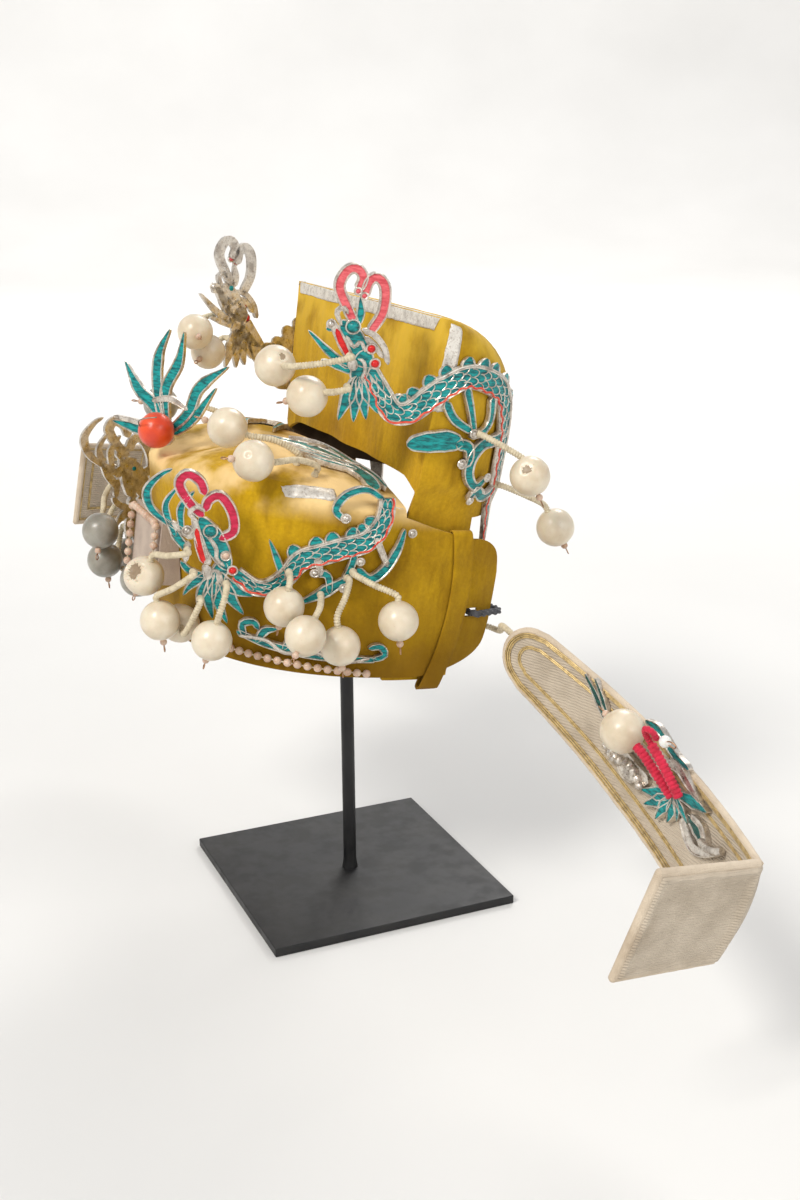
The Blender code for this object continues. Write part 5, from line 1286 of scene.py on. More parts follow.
REAR_DRAGON = {
    "body": Stroke((9, 12, 13, 13, 13, 12, 10, 7, 4), 0.0, "body", (
        (-0.47, 0.85), (-0.38, 0.80), (-0.28, 0.75), (-0.17, 0.75), (-0.06, 0.79), (0.05, 0.83),
        (0.20, 0.86), (0.38, 0.85), (0.54, 0.82), (0.63, 0.76), (0.68, 0.68), (0.68, 0.60),
        (0.69, 0.52), (0.71, 0.45), (0.73, 0.38))),
    "brow": Stroke((6, 11, 12, 8), 0.25, "teal", (
        (-0.70, 0.965), (-0.62, 0.93), (-0.55, 0.89), (-0.47, 0.86))),
    "snout": Stroke((3.5, 5, 4), 0.9, "silver", ((-0.77, 0.965), (-0.70, 0.925), (-0.60, 0.87))),
    "tongue": Stroke((3.4, 4.6, 4.0), 1.3, "scarlet", (
        (-0.73, 0.945), (-0.68, 0.91), (-0.62, 0.875))),
    "cheek": Stroke((9, 10, 8), 0.1, "teal", ((-0.49, 0.90), (-0.53, 0.86), (-0.54, 0.81))),
    "jaw_fin": Stroke((4, 4, 1.2), 0.05, "teal", ((-0.60, 0.85), (-0.74, 0.88), (-0.90, 0.93))),
    "jaw_low": Stroke((4, 4, 1.5), 0.15, "teal", ((-0.58, 0.84), (-0.68, 0.85), (-0.79, 0.86))),
    "horn_curl": Stroke((3, 4), 0.3, "teal", ((-0.79, 0.94), (-0.72, 0.95))),
    "crest_left": Stroke((5.2, 5.8, 5.2), 0.5, "coral", (
        (-0.61, 0.96), (-0.68, 1.00), (-0.75, 1.05), (-0.72, 1.09), (-0.66, 1.10),
        (-0.61, 1.08), (-0.63, 1.045))),
    "crest_right": Stroke((5.2, 5.8, 5.2), 0.6, "coral", (
        (-0.585, 1.03), (-0.57, 1.07), (-0.52, 1.085), (-0.46, 1.06),
        (-0.45, 1.00), (-0.51, 0.945))),
    "crest_leaf": Stroke((4, 4.5, 1), 0.4, "teal", ((-0.60, 0.96), (-0.59, 0.99), (-0.61, 1.03))),
    "beard_1": Stroke((5, 7.5, 1.2), 0.12, "teal", ((-0.54, 0.83), (-0.59, 0.76), (-0.62, 0.71))),
    "beard_2": Stroke((5, 7.5, 1.2), 0.2, "teal", ((-0.54, 0.83), (-0.53, 0.77), (-0.52, 0.71))),
    "beard_3": Stroke((5, 7.5, 1.2), 0.3, "teal", ((-0.53, 0.83), (-0.48, 0.77), (-0.44, 0.72))),
    "beard_4": Stroke((5, 7.5, 1.2), 0.22, "teal", ((-0.52, 0.83), (-0.44, 0.78), (-0.37, 0.74))),
    "beard_5": Stroke((5, 6, 1), 0.14, "teal", ((-0.51, 0.84), (-0.41, 0.80), (-0.30, 0.78))),
    "lip": Stroke((4.8, 5.2), 1.9, "silver", ((-0.605, 0.875), (-0.575, 0.845))),
    "mane": Stroke((2.8, 3.2, 3, 2.4), 1.0, "silver", (
        (-0.56, 0.95), (-0.48, 0.94), (-0.40, 0.91), (-0.36, 0.87))),
    "mane_low": Stroke((2.6, 3, 2.2), 0.6, "silver", ((-0.54, 0.93), (-0.47, 0.915), (-0.40, 0.885))),
    "brow_line": Stroke((1.6, 2.2, 2, 1.6), 0.8, "silver", (
        (-0.66, 0.93), (-0.60, 0.905), (-0.56, 0.92), (-0.52, 0.895))),
    "snout_curl": Stroke((2, 2.4, 2), 1.1, "silver", (
        (-0.70, 0.955), (-0.74, 0.985), (-0.70, 1.0), (-0.67, 0.985))),
    "cheek_line": Stroke((1.6, 2, 1.6), 0.7, "silver", (
        (-0.56, 0.875), (-0.52, 0.87), (-0.50, 0.845), (-0.52, 0.825))),
    "leg_front": Stroke((5, 5, 4), 0.2, "teal", ((0.06, 0.79), (0.15, 0.745), (0.30, 0.715))),
    "leg_middle": Stroke((5, 4, 3), 0.26, "teal", ((0.20, 0.83), (0.27, 0.77), (0.33, 0.71))),
    "leg_back": Stroke((5, 4, 4), 0.14, "teal", (
        (0.44, 0.81), (0.46, 0.75), (0.41, 0.715), (0.30, 0.70))),
    "drop_leaf": Stroke((7, 11, 12, 8), 0.08, "teal", (
        (-0.14, 0.665), (-0.04, 0.675), (0.12, 0.685), (0.25, 0.68))),
    "drop_curl": Stroke((7, 6, 4), 0.18, "teal", (
        (0.20, 0.68), (0.31, 0.67), (0.33, 0.63), (0.26, 0.625))),
    "scroll_top": Stroke((6, 7, 7, 6, 3), 0.12, "teal", (
        (0.67, 0.71), (0.56, 0.69), (0.44, 0.68), (0.36, 0.64), (0.36, 0.59), (0.44, 0.56),
        (0.53, 0.585))),
    "scroll_low": Stroke((5, 6, 3), 0.22, "teal", (
        (0.67, 0.55), (0.56, 0.53), (0.46, 0.55), (0.42, 0.52))),
}

DRAGON_TAIL = {
    "ridge": Stroke((9, 12, 11, 7, 3), 0.0, "teal", (
        (0.90, -0.16), (0.74, -0.17), (0.58, -0.27), (0.43, -0.38), (0.33, -0.49), (0.15, -0.54))),
    "outer": Stroke((2, 7, 7, 5, 2), 0.15, "teal", (
        (0.86, -0.09), (0.70, -0.11), (0.55, -0.20), (0.33, -0.27), (0.14, -0.38))),
    "outer_link": Stroke((3, 3), 0.25, "silver", ((0.62, -0.16), (0.61, -0.26))),
    "outer_link_low": Stroke((3, 3), 0.25, "silver", ((0.41, -0.25), (0.43, -0.38))),
    "feather_1": Stroke((4, 5, 1.5), 0.1, "teal", ((0.62, -0.25), (0.52, -0.38), (0.43, -0.48))),
    "feather_2": Stroke((4, 5, 1.5), 0.2, "teal", ((0.66, -0.23), (0.59, -0.36), (0.52, -0.48))),
    "feather_3": Stroke((4, 5, 1.5), 0.3, "teal", ((0.70, -0.20), (0.66, -0.34), (0.61, -0.44))),
}

RIM_TRIM = {
    "stem": Stroke((3, 4.5, 5, 4.5, 3), 0.0, "teal", (
        (-0.76, 0.225), (-0.63, 0.17), (-0.50, 0.14), (-0.36, 0.125), (-0.20, 0.12), (-0.08, 0.12))),
    "vine": Stroke((1.6, 2, 2, 1.6), 0.9, "silver", (
        (-0.75, 0.205), (-0.62, 0.19), (-0.52, 0.125), (-0.38, 0.145), (-0.24, 0.105), (-0.12, 0.13))),
    "curl_front": Stroke((3, 4.5, 3), 0.3, "teal", (
        (-0.72, 0.20), (-0.74, 0.27), (-0.69, 0.29), (-0.66, 0.25))),
    "leaf_1": Stroke((3, 5.5, 1.5), 0.1, "teal", ((-0.66, 0.17), (-0.63, 0.24), (-0.57, 0.26))),
    "leaf_2": Stroke((3, 5.5, 1.5), 0.1, "teal", ((-0.53, 0.14), (-0.49, 0.21), (-0.43, 0.23))),
    "leaf_3": Stroke((3, 5.5, 1.5), 0.1, "teal", ((-0.36, 0.12), (-0.32, 0.19), (-0.25, 0.20))),
    "curl": Stroke((3, 4.2, 3), 0.2, "teal", (
        (-0.10, 0.12), (-0.04, 0.15), (-0.07, 0.20), (-0.13, 0.19))),
}

FLAME = {
    "low_blade": Stroke((1, 7, 8, 5), 0.0, "teal", (
        (-0.39, 1.16), (-0.25, 1.15), (-0.08, 1.14), (0.05, 1.13))),
    "low_edge": Stroke((2, 3.2, 3), 1.0, "silver", ((-0.38, 1.19), (-0.22, 1.185), (0.0, 1.17))),
    "hub": Stroke((13, 13), 0.2, "silver", ((-0.05, 1.145), (0.05, 1.145))),
    "left_leaf": Stroke((5, 8, 7, 1), 0.1, "teal", (
        (-0.04, 1.17), (-0.11, 1.30), (-0.23, 1.38), (-0.34, 1.53))),
    "tall_left": Stroke((5, 7, 7, 1), 0.3, "teal", (
        (-0.03, 1.18), (-0.10, 1.42), (-0.11, 1.60), (-0.05, 1.76))),
    "tall_middle": Stroke((4, 7, 7, 1), 0.4, "teal", (
        (0.0, 1.18), (-0.04, 1.40), (0.03, 1.58), (0.05, 1.76))),
    "tall_right": Stroke((5, 7, 7, 1), 0.5, "teal", (
        (0.02, 1.17), (0.13, 1.30), (0.19, 1.46), (0.365, 1.61))),
    "short_right": Stroke((4, 6, 1), 0.25, "teal", ((0.05, 1.16), (0.16, 1.26), (0.30, 1.475))),
    "cross_link": Stroke((3, 4, 3), 0.7, "silver", ((-0.12, 1.33), (0.0, 1.36), (0.13, 1.32))),
}

# Balls in rings on the relief: place in shares, the ring's radius in millimetres, the ball's look
Stud = namedtuple("Stud", "place radius look")
FRONT_STUDS = [
    Stud((-0.86, 0.66), 2.3, "seed_bead"), Stud((-0.82, 0.58), 2.3, "scarlet"),
    Stud((-1.05, 0.78), 2.4, "silver"), Stud((-0.945, 0.79), 3.3, "teal"),
    Stud((-0.34, 0.94), 2.2, "silver"), Stud((0.0, 0.88), 2.0, "silver"),
    Stud((-0.24, 0.70), 1.9, "silver"), Stud((-0.44, 0.61), 1.9, "silver"),
    Stud((-0.30, 0.54), 2.0, "silver"),
]
REAR_STUDS = [
    Stud((-0.485, 0.905), 2.3, "scarlet"), Stud((-0.445, 0.868), 2.4, "scarlet"),
    Stud((-0.625, 0.955), 3.4, "teal"), Stud((-0.765, 0.955), 2.0, "silver"),
    Stud((-0.63, 1.045), 1.6, "coral"), Stud((-0.585, 1.035), 1.6, "coral"),
    Stud((0.27, 0.625), 2.2, "silver"), Stud((0.53, 0.585), 2.0, "silver"),
    Stud((0.43, 0.525), 1.8, "silver"), Stud((0.32, 0.71), 2.0, "silver"),
]


# Where a body's ridge fins start and end, along the body
FRONT_FINS = (42 * MM, 92 * MM)
REAR_FINS = (24 * MM, 112 * MM)


def leaf_section(half, base, top, fill):
    """Across a leaf: positions, heights and the look of each step round the section."""
    rim = min(RIM_WIDTH, 0.34 * half)
    crest = top + RIM_RISE
    inlay = half - 1.15 * rim
    profile = [(-half, base), (half, base), (half, top), (half - 0.25 * rim, crest),
               (half - 0.8 * rim, crest), (inlay, top), (0, top + 0.2 * MM), (-inlay, top),
               (0.8 * rim - half, crest), (0.25 * rim - half, crest), (-half, top)]
    return profile, ["silver"] * 5 + [fill] * 2 + ["silver"] * 4


def body_section(half, base, top):
    """Across a dragon's body: from the belly's edge to the double ridge."""
    unit = min(1.0, half / (4.5 * MM)) * MM
    profile = [(-half, base), (half, base), (half, top - 0.2 * unit),
               (half - 0.3 * unit, top + 0.3 * unit), (half - 0.95 * unit, top),
               (half - 1.35 * unit, top + 0.4 * unit), (half - 1.8 * unit, top),
               (0, top + 0.3 * unit), (2.1 * unit - half, top),
               (1.9 * unit - half, top + 0.65 * unit), (1.3 * unit - half, top + 0.7 * unit),
               (1.1 * unit - half, top + 0.35 * unit), (0.9 * unit - half, top + 0.65 * unit),
               (0.25 * unit - half, top + 0.5 * unit), (-half, top - 0.2 * unit)]
    looks = ["silver"] * 6 + ["teal"] * 2 + ["silver"] * 7
    return profile, looks


Spine = namedtuple("Spine", "point along side half")


def spine_of(path, widths, round_ends=True):
    """The path's points with their directions and half widths, rounded off at wide ends."""
    count = len(path)
    length = path_length(path)
    spans = np.interp(np.linspace(0, 1, count), np.linspace(0, 1, len(widths)), widths) * MM
    result = []
    for index, point in enumerate(path):
        before = path[max(index - 1, 0)]
        after = path[min(index + 1, count - 1)]
        along = (after - before).normalized()
        half = float(spans[index]) / 2
        if round_ends:
            travelled = length * index / (count - 1)
            for distance in (travelled, length - travelled):
                if distance < half:
                    share = 1 - max(distance, 0.0) / half
                    half *= max(0.3, math.sqrt(1 - share ** 2))
        result.append(Spine(point, along, along.cross(Vector((0, 0, 1))), half))
    return result


def band(form, points, widths, lift, fill, base=RELIEF_BASE, top=RELIEF_TOP):
    """A metal band along points in the flat, with raised rims and a painted cell."""
    length = path_length(points)
    path = smooth_path(points, max(7, int(length / BAND_STEP) + 1))
    spine = spine_of(path, widths, fill != "body")
    rings = []
    for row in spine:
        level = top + lift * MM
        if fill == "body":
            profile, looks = body_section(row.half, base, level)
        else:
            profile, looks = leaf_section(row.half, base, level, fill)
        rings.append([row.point + row.side * across + Vector((0, 0, height))
                      for across, height in profile])
    form.loft(rings, looks)
    return spine


def scales(form, spine, top):
    """Fish scales over a body: raised arcs in staggered columns, and the wavy belly line."""
    step = path_length([row.point for row in spine]) / (len(spine) - 1)
    for column in range(1, int(len(spine) * step / SCALE_PITCH)):
        row = spine[min(int(column * SCALE_PITCH / step), len(spine) - 1)]
        low, high = 2.3 * MM - row.half, row.half - 2.0 * MM
        if high - low < 2.5 * MM:
            continue
        width = (high - low) / 2
        middles = [low, low + width, high] if column % 2 else [low + width / 2, high - width / 2]
        for middle in middles:
            arc = []
            for turn in range(-90, 91, 18):
                angle = math.radians(turn)
                across = middle + math.sin(angle) * width / 2
                if low - 0.3 * MM <= across <= high + 0.3 * MM:
                    arc.append(row.point + row.along * (math.cos(angle) * 0.95 * SCALE_PITCH)
                               + row.side * across + Vector((0, 0, top + SCALE_LIFT)))
            if len(arc) > 2:
                form.tube(arc, SCALE_WIRE, "silver", sides=5)
    belly = []
    for index, row in enumerate(spine):
        wave = BELLY_SWING * math.sin(2 * math.pi * index * step / BELLY_WAVE)
        inset = min(1.5 * MM, 0.4 * row.half)
        belly.append(row.point + row.side * (row.half - inset + wave)
                     + Vector((0, 0, top + BELLY_LIFT)))
    form.tube(smooth_path(belly, 3 * len(belly)), BELLY_RADIUS, "belly_red", sides=6)


def ridge_fins(form, spine, lift, first, last):
    """Round scallops along the ridge; each is a disc whose other half lies under the body."""
    step = path_length([row.point for row in spine]) / (len(spine) - 1)
    reach = FIN_SIZE / 2
    for place in np.arange(first, last, FIN_SIZE + FIN_GAP):
        row = spine[min(int(place / step), len(spine) - 1)]
        root = row.point - row.side * (row.half - 0.7 * MM)
        lean = row.along * 0.8 * MM
        points = [root + row.side * reach - lean, root - row.side * reach + lean]
        band(form, points, (FIN_SIZE / MM, 0.94 * FIN_SIZE / MM), lift, "teal")


def studs(form, rows, scale, top):
    """A ball in a silver ring for each row."""
    for row in rows:
        centre = Vector((row.place[0] * scale[0], row.place[1] * scale[1], top + STUD_LIFT))
        radius = row.radius * MM
        circle = [centre + Vector((math.cos(a), math.sin(a), 0)) * radius
                  for a in np.linspace(0, 2 * math.pi, 15)[:-1]]
        form.tube(circle, STUD_RING, "silver", sides=7, loop=True)
        form.ball(centre - Vector((0, 0, 0.5 * MM)), radius * 0.85, row.look, rows=6)


def relief(name, strokes, carrier_name, side, stud_rows=(), fins=None, nodes=()):
    """A relief: bands made in the flat and laid on their carrier."""
    carrier = CARRIERS[carrier_name]

    def place(point):
        """Lays a flat point on the carrier, on its own side."""
        spot = on_carrier(carrier, point.x, point.y, point.z)
        return Vector((side * spot.x, spot.y, spot.z))

    form = Form(name, place)
    for stroke in strokes.values():
        points = [Vector((a * carrier.scale[0], b * carrier.scale[1], 0)) for a, b in stroke.points]
        spine = band(form, points, stroke.widths, stroke.lift, stroke.fill)
        if stroke.fill == "body":
            scales(form, spine, RELIEF_TOP)
            ridge_fins(form, spine, -0.7, *fins)
    studs(form, stud_rows, carrier.scale, RELIEF_TOP)
    form.finish(nodes)


def fire_ball_centre():
    """The ball stands just behind the brow, on the middle line."""
    reach = FIRE_BALL_RADIUS + flame_reach()
    return Vector((0, cap_brow(0, CAP_HEIGHT) + FLAME_SETBACK - reach, 1.18 * CAP_HEIGHT))


def flame_reach():
    """From the ball's surface to the back of the flame."""
    return FLAME_THICKNESS + 0.5 * MM + 2 * GAP


def flame_point(across, height, depth):
    """A point of the flame, which is turned round the ball: depth is from its back to the ball."""
    reach = FIRE_BALL_RADIUS + flame_reach() - depth
    return Vector((across * math.cos(FLAME_TURN) - reach * math.sin(FLAME_TURN),
                   fire_ball_centre().y + across * math.sin(FLAME_TURN)
                   + reach * math.cos(FLAME_TURN), height))


def flame():
    """Upright leaves behind the fire ball."""
    form = Form("flame_dressed", lambda point: flame_point(*point))
    for stroke in FLAME.values():
        points = [Vector((a * CAP_HALF_WIDTH, b * CAP_HEIGHT, 0)) for a, b in stroke.points]
        band(form, points, stroke.widths, stroke.lift, stroke.fill, 0.0, FLAME_THICKNESS)
    form.finish(["flame_leaves"])


# The bent wire on the fire ball, in millimetres from the ball's centre
FIRE_WIRE = ((2, -9.8, 2), (5, -11.5, 5), (10, -9.5, 7.5), (13, -4, 9))


def fire_ball():
    """The orange ball with its bent wire."""
    form = Form("fire_ball_dressed")
    centre = fire_ball_centre()
    form.ball(centre, FIRE_BALL_RADIUS, "fire_red", Vector((0.3, -1, 0.2)), 40, 24, ripple=0.02)
    wire = [centre + Vector(offset) * MM for offset in FIRE_WIRE]
    form.tube(smooth_path(wire, 12), 0.35 * MM, "tarnish", 6)
    form.finish(["fire_ball"])


# Brow plate and strings of beads

def brow():
    """The padded brow plate and its border of small beads."""
    face = cap_brow(0, BROW_HIGH) - BROW_DEPTH
    form = Form("brow_dressed")
    rings = []
    for x in np.linspace(-BROW_HALF_WIDTH, BROW_HALF_WIDTH, 17):
        edge = 1 - (abs(x) / BROW_HALF_WIDTH) ** 8
        ring = []
        for z in np.linspace(BROW_LOW, BROW_HIGH, 13):
            share = 2 * (z - BROW_LOW) / (BROW_HIGH - BROW_LOW) - 1
            puff = BROW_PUFF * edge * (1 - share ** 8)
            ring.append(Vector((x, face - puff + BROW_PUFF, z)))
        for z in np.linspace(BROW_HIGH, BROW_LOW, 13):
            ring.append(Vector((x, cap_brow(x, z) - GAP, z)))
        rings.append(ring)
    form.loft(rings, "brow_cloth")
    form.finish(["forehead_plate"])
    y = face - GAP - BEAD_DIAMETER / 2
    inset = BROW_HALF_WIDTH - BEAD_DIAMETER / 2
    high = BROW_HIGH - BEAD_DIAMETER / 2
    route = [Vector(p) for p in ((-inset, y, BROW_LOW), (-inset, y, high), (inset, y, high),
                                 (inset, y, BROW_LOW))]
    bead_string("brow_beads", route, ["forehead_beads"], 1.12 * BEAD_DIAMETER, corner=True)


def bead_string(name, route, nodes, pitch, corner=False):
    """Small round beads along a route, with the thread that carries them."""
    form = Form(name)
    count = int(path_length(route) / pitch)
    path = spread(route, count) if corner else smooth_path(route, count)
    for index, point in enumerate(path):
        before, after = path[max(index - 1, 0)], path[min(index + 1, count - 1)]
        form.ball(point, BEAD_DIAMETER / 2, "seed_bead", after - before, ripple=0.06)
    form.tube(path, 0.4 * MM, "cream_thread", 6)
    form.finish(nodes)


# The rim's string of beads from start to end, in shares of the cap's front and height
RIM_STRING = ((-0.80, 0.085), (-0.12, 0.035))


def rim_beads(side, word):
    """The string of beads along the cap's rim, from beside the brow to the tab."""
    carrier = CARRIERS["front"]
    route = []
    for y_share, z_share in np.linspace(*RIM_STRING, 12):
        y, z = y_share * cap_front(CAP_HEIGHT), z_share * CAP_HEIGHT
        wall = Vector((cap_side(y, z), y, z))
        normal = carrier_normal(lambda a, b: Vector((cap_side(a, b), a, b)), y, z, carrier.hint)
        point = wall + normal * (BEAD_DIAMETER / 2 + 2 * GAP)
        route.append(Vector((side * point.x, point.y, point.z)))
    bead_string(f"rim_string_{word}", route, [f"rim_beads_{word}"], 1.1 * BEAD_DIAMETER)


# Pearls on their wrapped stems

# A pearl: what its stem stands on and where, in shares of the carrier's scale, then the stem's
# tip and the pearl's centre in shares of its reach, and the sides that have it
Pearl = namedtuple("Pearl", "carrier foot tip centre sides")
PEARLS = {
    "brow_high": Pearl("front", (-1.04, 0.67), (0.60, -1.15, 0.58), (0.53, -1.17, 0.44), "both"),
    "brow_low": Pearl("front", (-1.00, 0.55), (0.66, -1.13, 0.36), (0.66, -1.10, 0.22), "both"),
    "chin": Pearl("front", (-0.84, 0.50), (0.98, -0.90, 0.36), (0.93, -0.91, 0.19), "both"),
    "temple": Pearl("front", (-0.56, 0.60), (1.10, -0.61, 0.56), (1.06, -0.61, 0.43), "both"),
    "cheek": Pearl("front", (-0.40, 0.49), (1.20, -0.48, 0.46), (1.29, -0.565, 0.335), "both"),
    "ear": Pearl("front", (-0.29, 0.60), (1.19, -0.38, 0.42), (1.19, -0.345, 0.25), "both"),
    "nape": Pearl("front", (-0.27, 0.64), (1.27, -0.12, 0.57), (1.29, -0.10, 0.43), "both"),
    "throat": Pearl("front", (-0.95, 0.40), (0.75, -1.0, 0.17), (0.476, -0.95, 0.15), "both"),
    "dome_side": Pearl("dome", (0.78, -0.44), (0.92, -0.70, 1.20), (0.931, -0.806, 1.204), "both"),
    "dome_top": Pearl("dome", (0.66, -0.50), (0.64, -0.74, 1.29), (0.582, -0.847, 1.317), "left"),
    "mouth_high": Pearl("rear", (-0.62, 0.88), (0.85, -0.97, 0.835), (0.65, -1.00, 0.82), "both"),
    "mouth_low": Pearl("rear", (-0.60, 0.80), (0.84, -0.74, 0.775), (0.78, -0.82, 0.757), "both"),
    "claw_high": Pearl("rear", (0.36, 0.71), (1.09, 0.63, 0.665), (1.12, 0.69, 0.62), "both"),
    "claw_low": Pearl("rear", (0.66, 0.56), (0.85, 1.07, 0.515), (0.86, 1.19, 0.452), "both"),
}
# The far side's front pearls, which take the pearl with painted shade.
SHADED_PEARLS = ("brow_high_right", "brow_low_right", "chin_right", "throat_right",
               "dome_side_right")

# Damage, by pearl: which way it faces, its half angle in degrees and its depth as a share of
# the radius
Wound = namedtuple("Wound", "direction half_angle depth")
WOUNDS = {
    "brow_high_left": Wound((0.45, -0.78, 0.43), 33, 0.3),
    "dome_side_left": Wound((0.74, -0.55, 0.38), 9, 0.06),
    "claw_high_left": Wound((0.62, -0.60, 0.50), 20, 0.09),
    "mouth_high_left": Wound((0.80, 0.05, 0.60), 17, 0.07),
}


def wounded(form, first, last, centre, radius, wound):
    """Presses a ragged hole or dent into a ball's points, which run from first to last."""
    axis = Vector(wound.direction).normalized()
    half_angle = math.radians(wound.half_angle)
    for index in range(first, last):
        ray = (form.points[index] - centre).normalized()
        ragged = half_angle * (1 + 0.45 * noise.noise(ray * 6))
        press = max(0.0, 1 - (axis.angle(ray) / ragged) ** 4)
        form.points[index] -= ray * radius * wound.depth * press


def hung_pearl(form, centre, radius, outward, look, wound=None):
    """A pearl with the small bead and the wire loop at its outer end."""
    outward = outward.normalized()
    first, first_face = len(form.points), len(form.faces)
    segments, rows = (72, 44) if wound else (32, 20)
    form.ball(centre, radius, look, outward, segments, rows, ripple=0.018)
    if wound:
        wounded(form, first, len(form.points), centre, radius, wound)
        # Faces deep in the dent take the dark core look, which is partly painted shade.
        shaded_core_mark = form.mark("pearl_core")
        for index in range(first_face, len(form.faces)):
            reach = sum(((form.points[i] - centre).length for i in form.faces[index]), 0.0)
            if reach / len(form.faces[index]) < (0.965 - 0.4 * wound.depth) * radius:
                form.marks[index] = shaded_core_mark
    form.ball(centre + outward * (radius + 1.6 * MM), PEARL_BEAD_RADIUS, "seed_bead", outward)
    end = centre + outward * (radius + 3.2 * MM)
    across = outward.cross(Vector((0.3, 0.5, 0.8))).normalized()
    loop = [end + (outward * reach + across * aside) * MM
            for reach, aside in ((0, 0), (2.2, 1), (4, 0), (2.4, -1), (0.4, 0))]
    form.tube(smooth_path(loop, 14), WIRE_RADIUS, "copper_wire", 6)


def pearl(name, row, side, word):
    """A pearl and the wrapped stem that carries it."""
    carrier = CARRIERS[row.carrier]
    a, b = row.foot[0] * carrier.scale[0], row.foot[1] * carrier.scale[1]
    surface = carrier.cover + GAP
    foot = on_carrier(carrier, a, b, surface)
    lead = on_carrier(carrier, a, b, surface + 1.5 * STEM_DIAMETER)
    tip = Vector([row.tip[i] * carrier.reach[i] for i in range(3)])
    centre = Vector([row.centre[i] * carrier.reach[i] for i in range(3)])
    mirror = Vector((side, 1, 1))
    path = [foot, *smooth_path([lead, lead.lerp(tip, 0.5) + (lead - foot) * 0.5, tip], 3)]
    inner = centre + (tip - centre).normalized() * 0.8 * PEARL_RADIUS
    path = [p * mirror for p in (*path, inner)]
    full_name = f"{name}_{word}"
    look = "grey_pearl" if full_name in SHADED_PEARLS else "pearl"
    form = Form(f"{full_name}_dressed")
    hung_pearl(form, centre * mirror, PEARL_RADIUS, (centre - tip) * mirror, look,
               WOUNDS.get(full_name))
    wrapped(form, path, STEM_DIAMETER / 2 - THREAD_RISE, "cream_thread")
    form.ball(path[0], STEM_DIAMETER / 2 + 0.3 * MM, "cream_thread", segments=10, rows=6)
    form.finish([f"pearl_{full_name}"])


# Wings

# A wing's pose: its root in shares of the cap's reach, and its turns in radians
WingPose = namedtuple("WingPose", "side root yaw pitch roll curl droop fold")
WINGS = [
    WingPose("left", (1.344, 0.49, 0.344), 0.614, 0.446, 0.172, -0.805, -0.244, -1.193),
    WingPose("right", (1.30, 0.49, 0.33), -0.15, 0.10, 0.0, -0.60, -0.10, -1.30),
]
WingFrame = namedtuple("WingFrame", "centre along up normal")
WING_FRAME_COUNT = 96
WING_TOTAL = WING_LENGTH + PANEL_LENGTH


def arm_width(share):
    """The arm's width at a share of its length."""
    return float(np.interp(share, (0, 0.5, 1),
                           (WING_ROOT_WIDTH, WING_MIDDLE_WIDTH, WING_END_WIDTH)))


def wing_frames(pose, count):
    """Frames down the arm, from the root to the fold, for a wing on the wearer's left."""
    centre = Vector([pose.root[i] * CAP_REACH[i] for i in range(3)])
    along = Vector((math.cos(pose.pitch) * math.cos(pose.yaw),
                    math.cos(pose.pitch) * math.sin(pose.yaw), -math.sin(pose.pitch)))
    up = along.cross(Vector((0, 0, 1))).cross(along).normalized()
    up = Matrix.Rotation(pose.roll, 3, along) @ up
    normal = up.cross(along)
    frames = []
    for _ in range(count + 1):
        frames.append(WingFrame(centre, along, up, normal))
        turn = (Matrix.Rotation(pose.curl / count, 3, up)
                @ Matrix.Rotation(pose.droop / count, 3, normal))
        following = turn @ along
        centre = centre + (along + following).normalized() * (WING_LENGTH / count)
        along, up, normal = following, turn @ up, turn @ normal
    return frames


class WingSheet:
    """The wing's middle surface: a distance from the root, a distance across and a lift."""

    def __init__(self, pose):
        """Works out the arm's frames and the directions of the folded end panel."""
        self.side = 1 if pose.side == "left" else -1
        self.frames = wing_frames(pose, WING_FRAME_COUNT)
        last = self.frames[-1]
        self.fold_along = Matrix.Rotation(pose.fold, 3, last.up) @ last.along
        self.fold_normal = last.up.cross(self.fold_along)

    def half(self, distance, inset=0.0):
        """Half width at a distance, less an inset from the outline all round."""
        radius = WING_ROOT_WIDTH / 2
        if distance < radius:
            square = (radius - inset) ** 2 - (radius - distance) ** 2
            return math.sqrt(max(square, 0.0))
        if distance <= WING_LENGTH:
            return arm_width(distance / WING_LENGTH) / 2 - inset
        share = (distance - WING_LENGTH) / PANEL_LENGTH
        return (WING_END_WIDTH + (PANEL_WIDTH - WING_END_WIDTH) * share) / 2 - inset

    def place(self, point):
        """x is the distance from the root, y the distance up, z the lift of the gilt face."""
        distance, across, lift = point
        share = across / self.half(max(distance, WING_ROOT_WIDTH / 2))
        if distance <= WING_LENGTH:
            position = max(distance, 0.0) / WING_LENGTH * WING_FRAME_COUNT
            index = min(int(position), WING_FRAME_COUNT - 1)
            blend = position - index
            near, far = self.frames[index], self.frames[index + 1]
            cup = WING_CUP * (1 - share ** 2) * min(position / WING_FRAME_COUNT * 8, 3) / 3
            normal = near.normal.lerp(far.normal, blend)
            spot = near.centre.lerp(far.centre, blend) + near.up.lerp(far.up, blend) * across
            spot = spot + normal * (cup - lift)
        else:
            last = self.frames[-1]
            beyond = distance - WING_LENGTH
            bow = 0.6 * WING_CUP * (1 - share ** 2) * (1 - beyond / PANEL_LENGTH)
            spot = (last.centre + self.fold_along * beyond + last.up * across
                    + self.fold_normal * (bow - lift))
        return Vector((self.side * spot.x, spot.y, spot.z))

    def point(self, distance, across, lift):
        """The place of three separate values."""
        return self.place(Vector((distance, across, lift)))


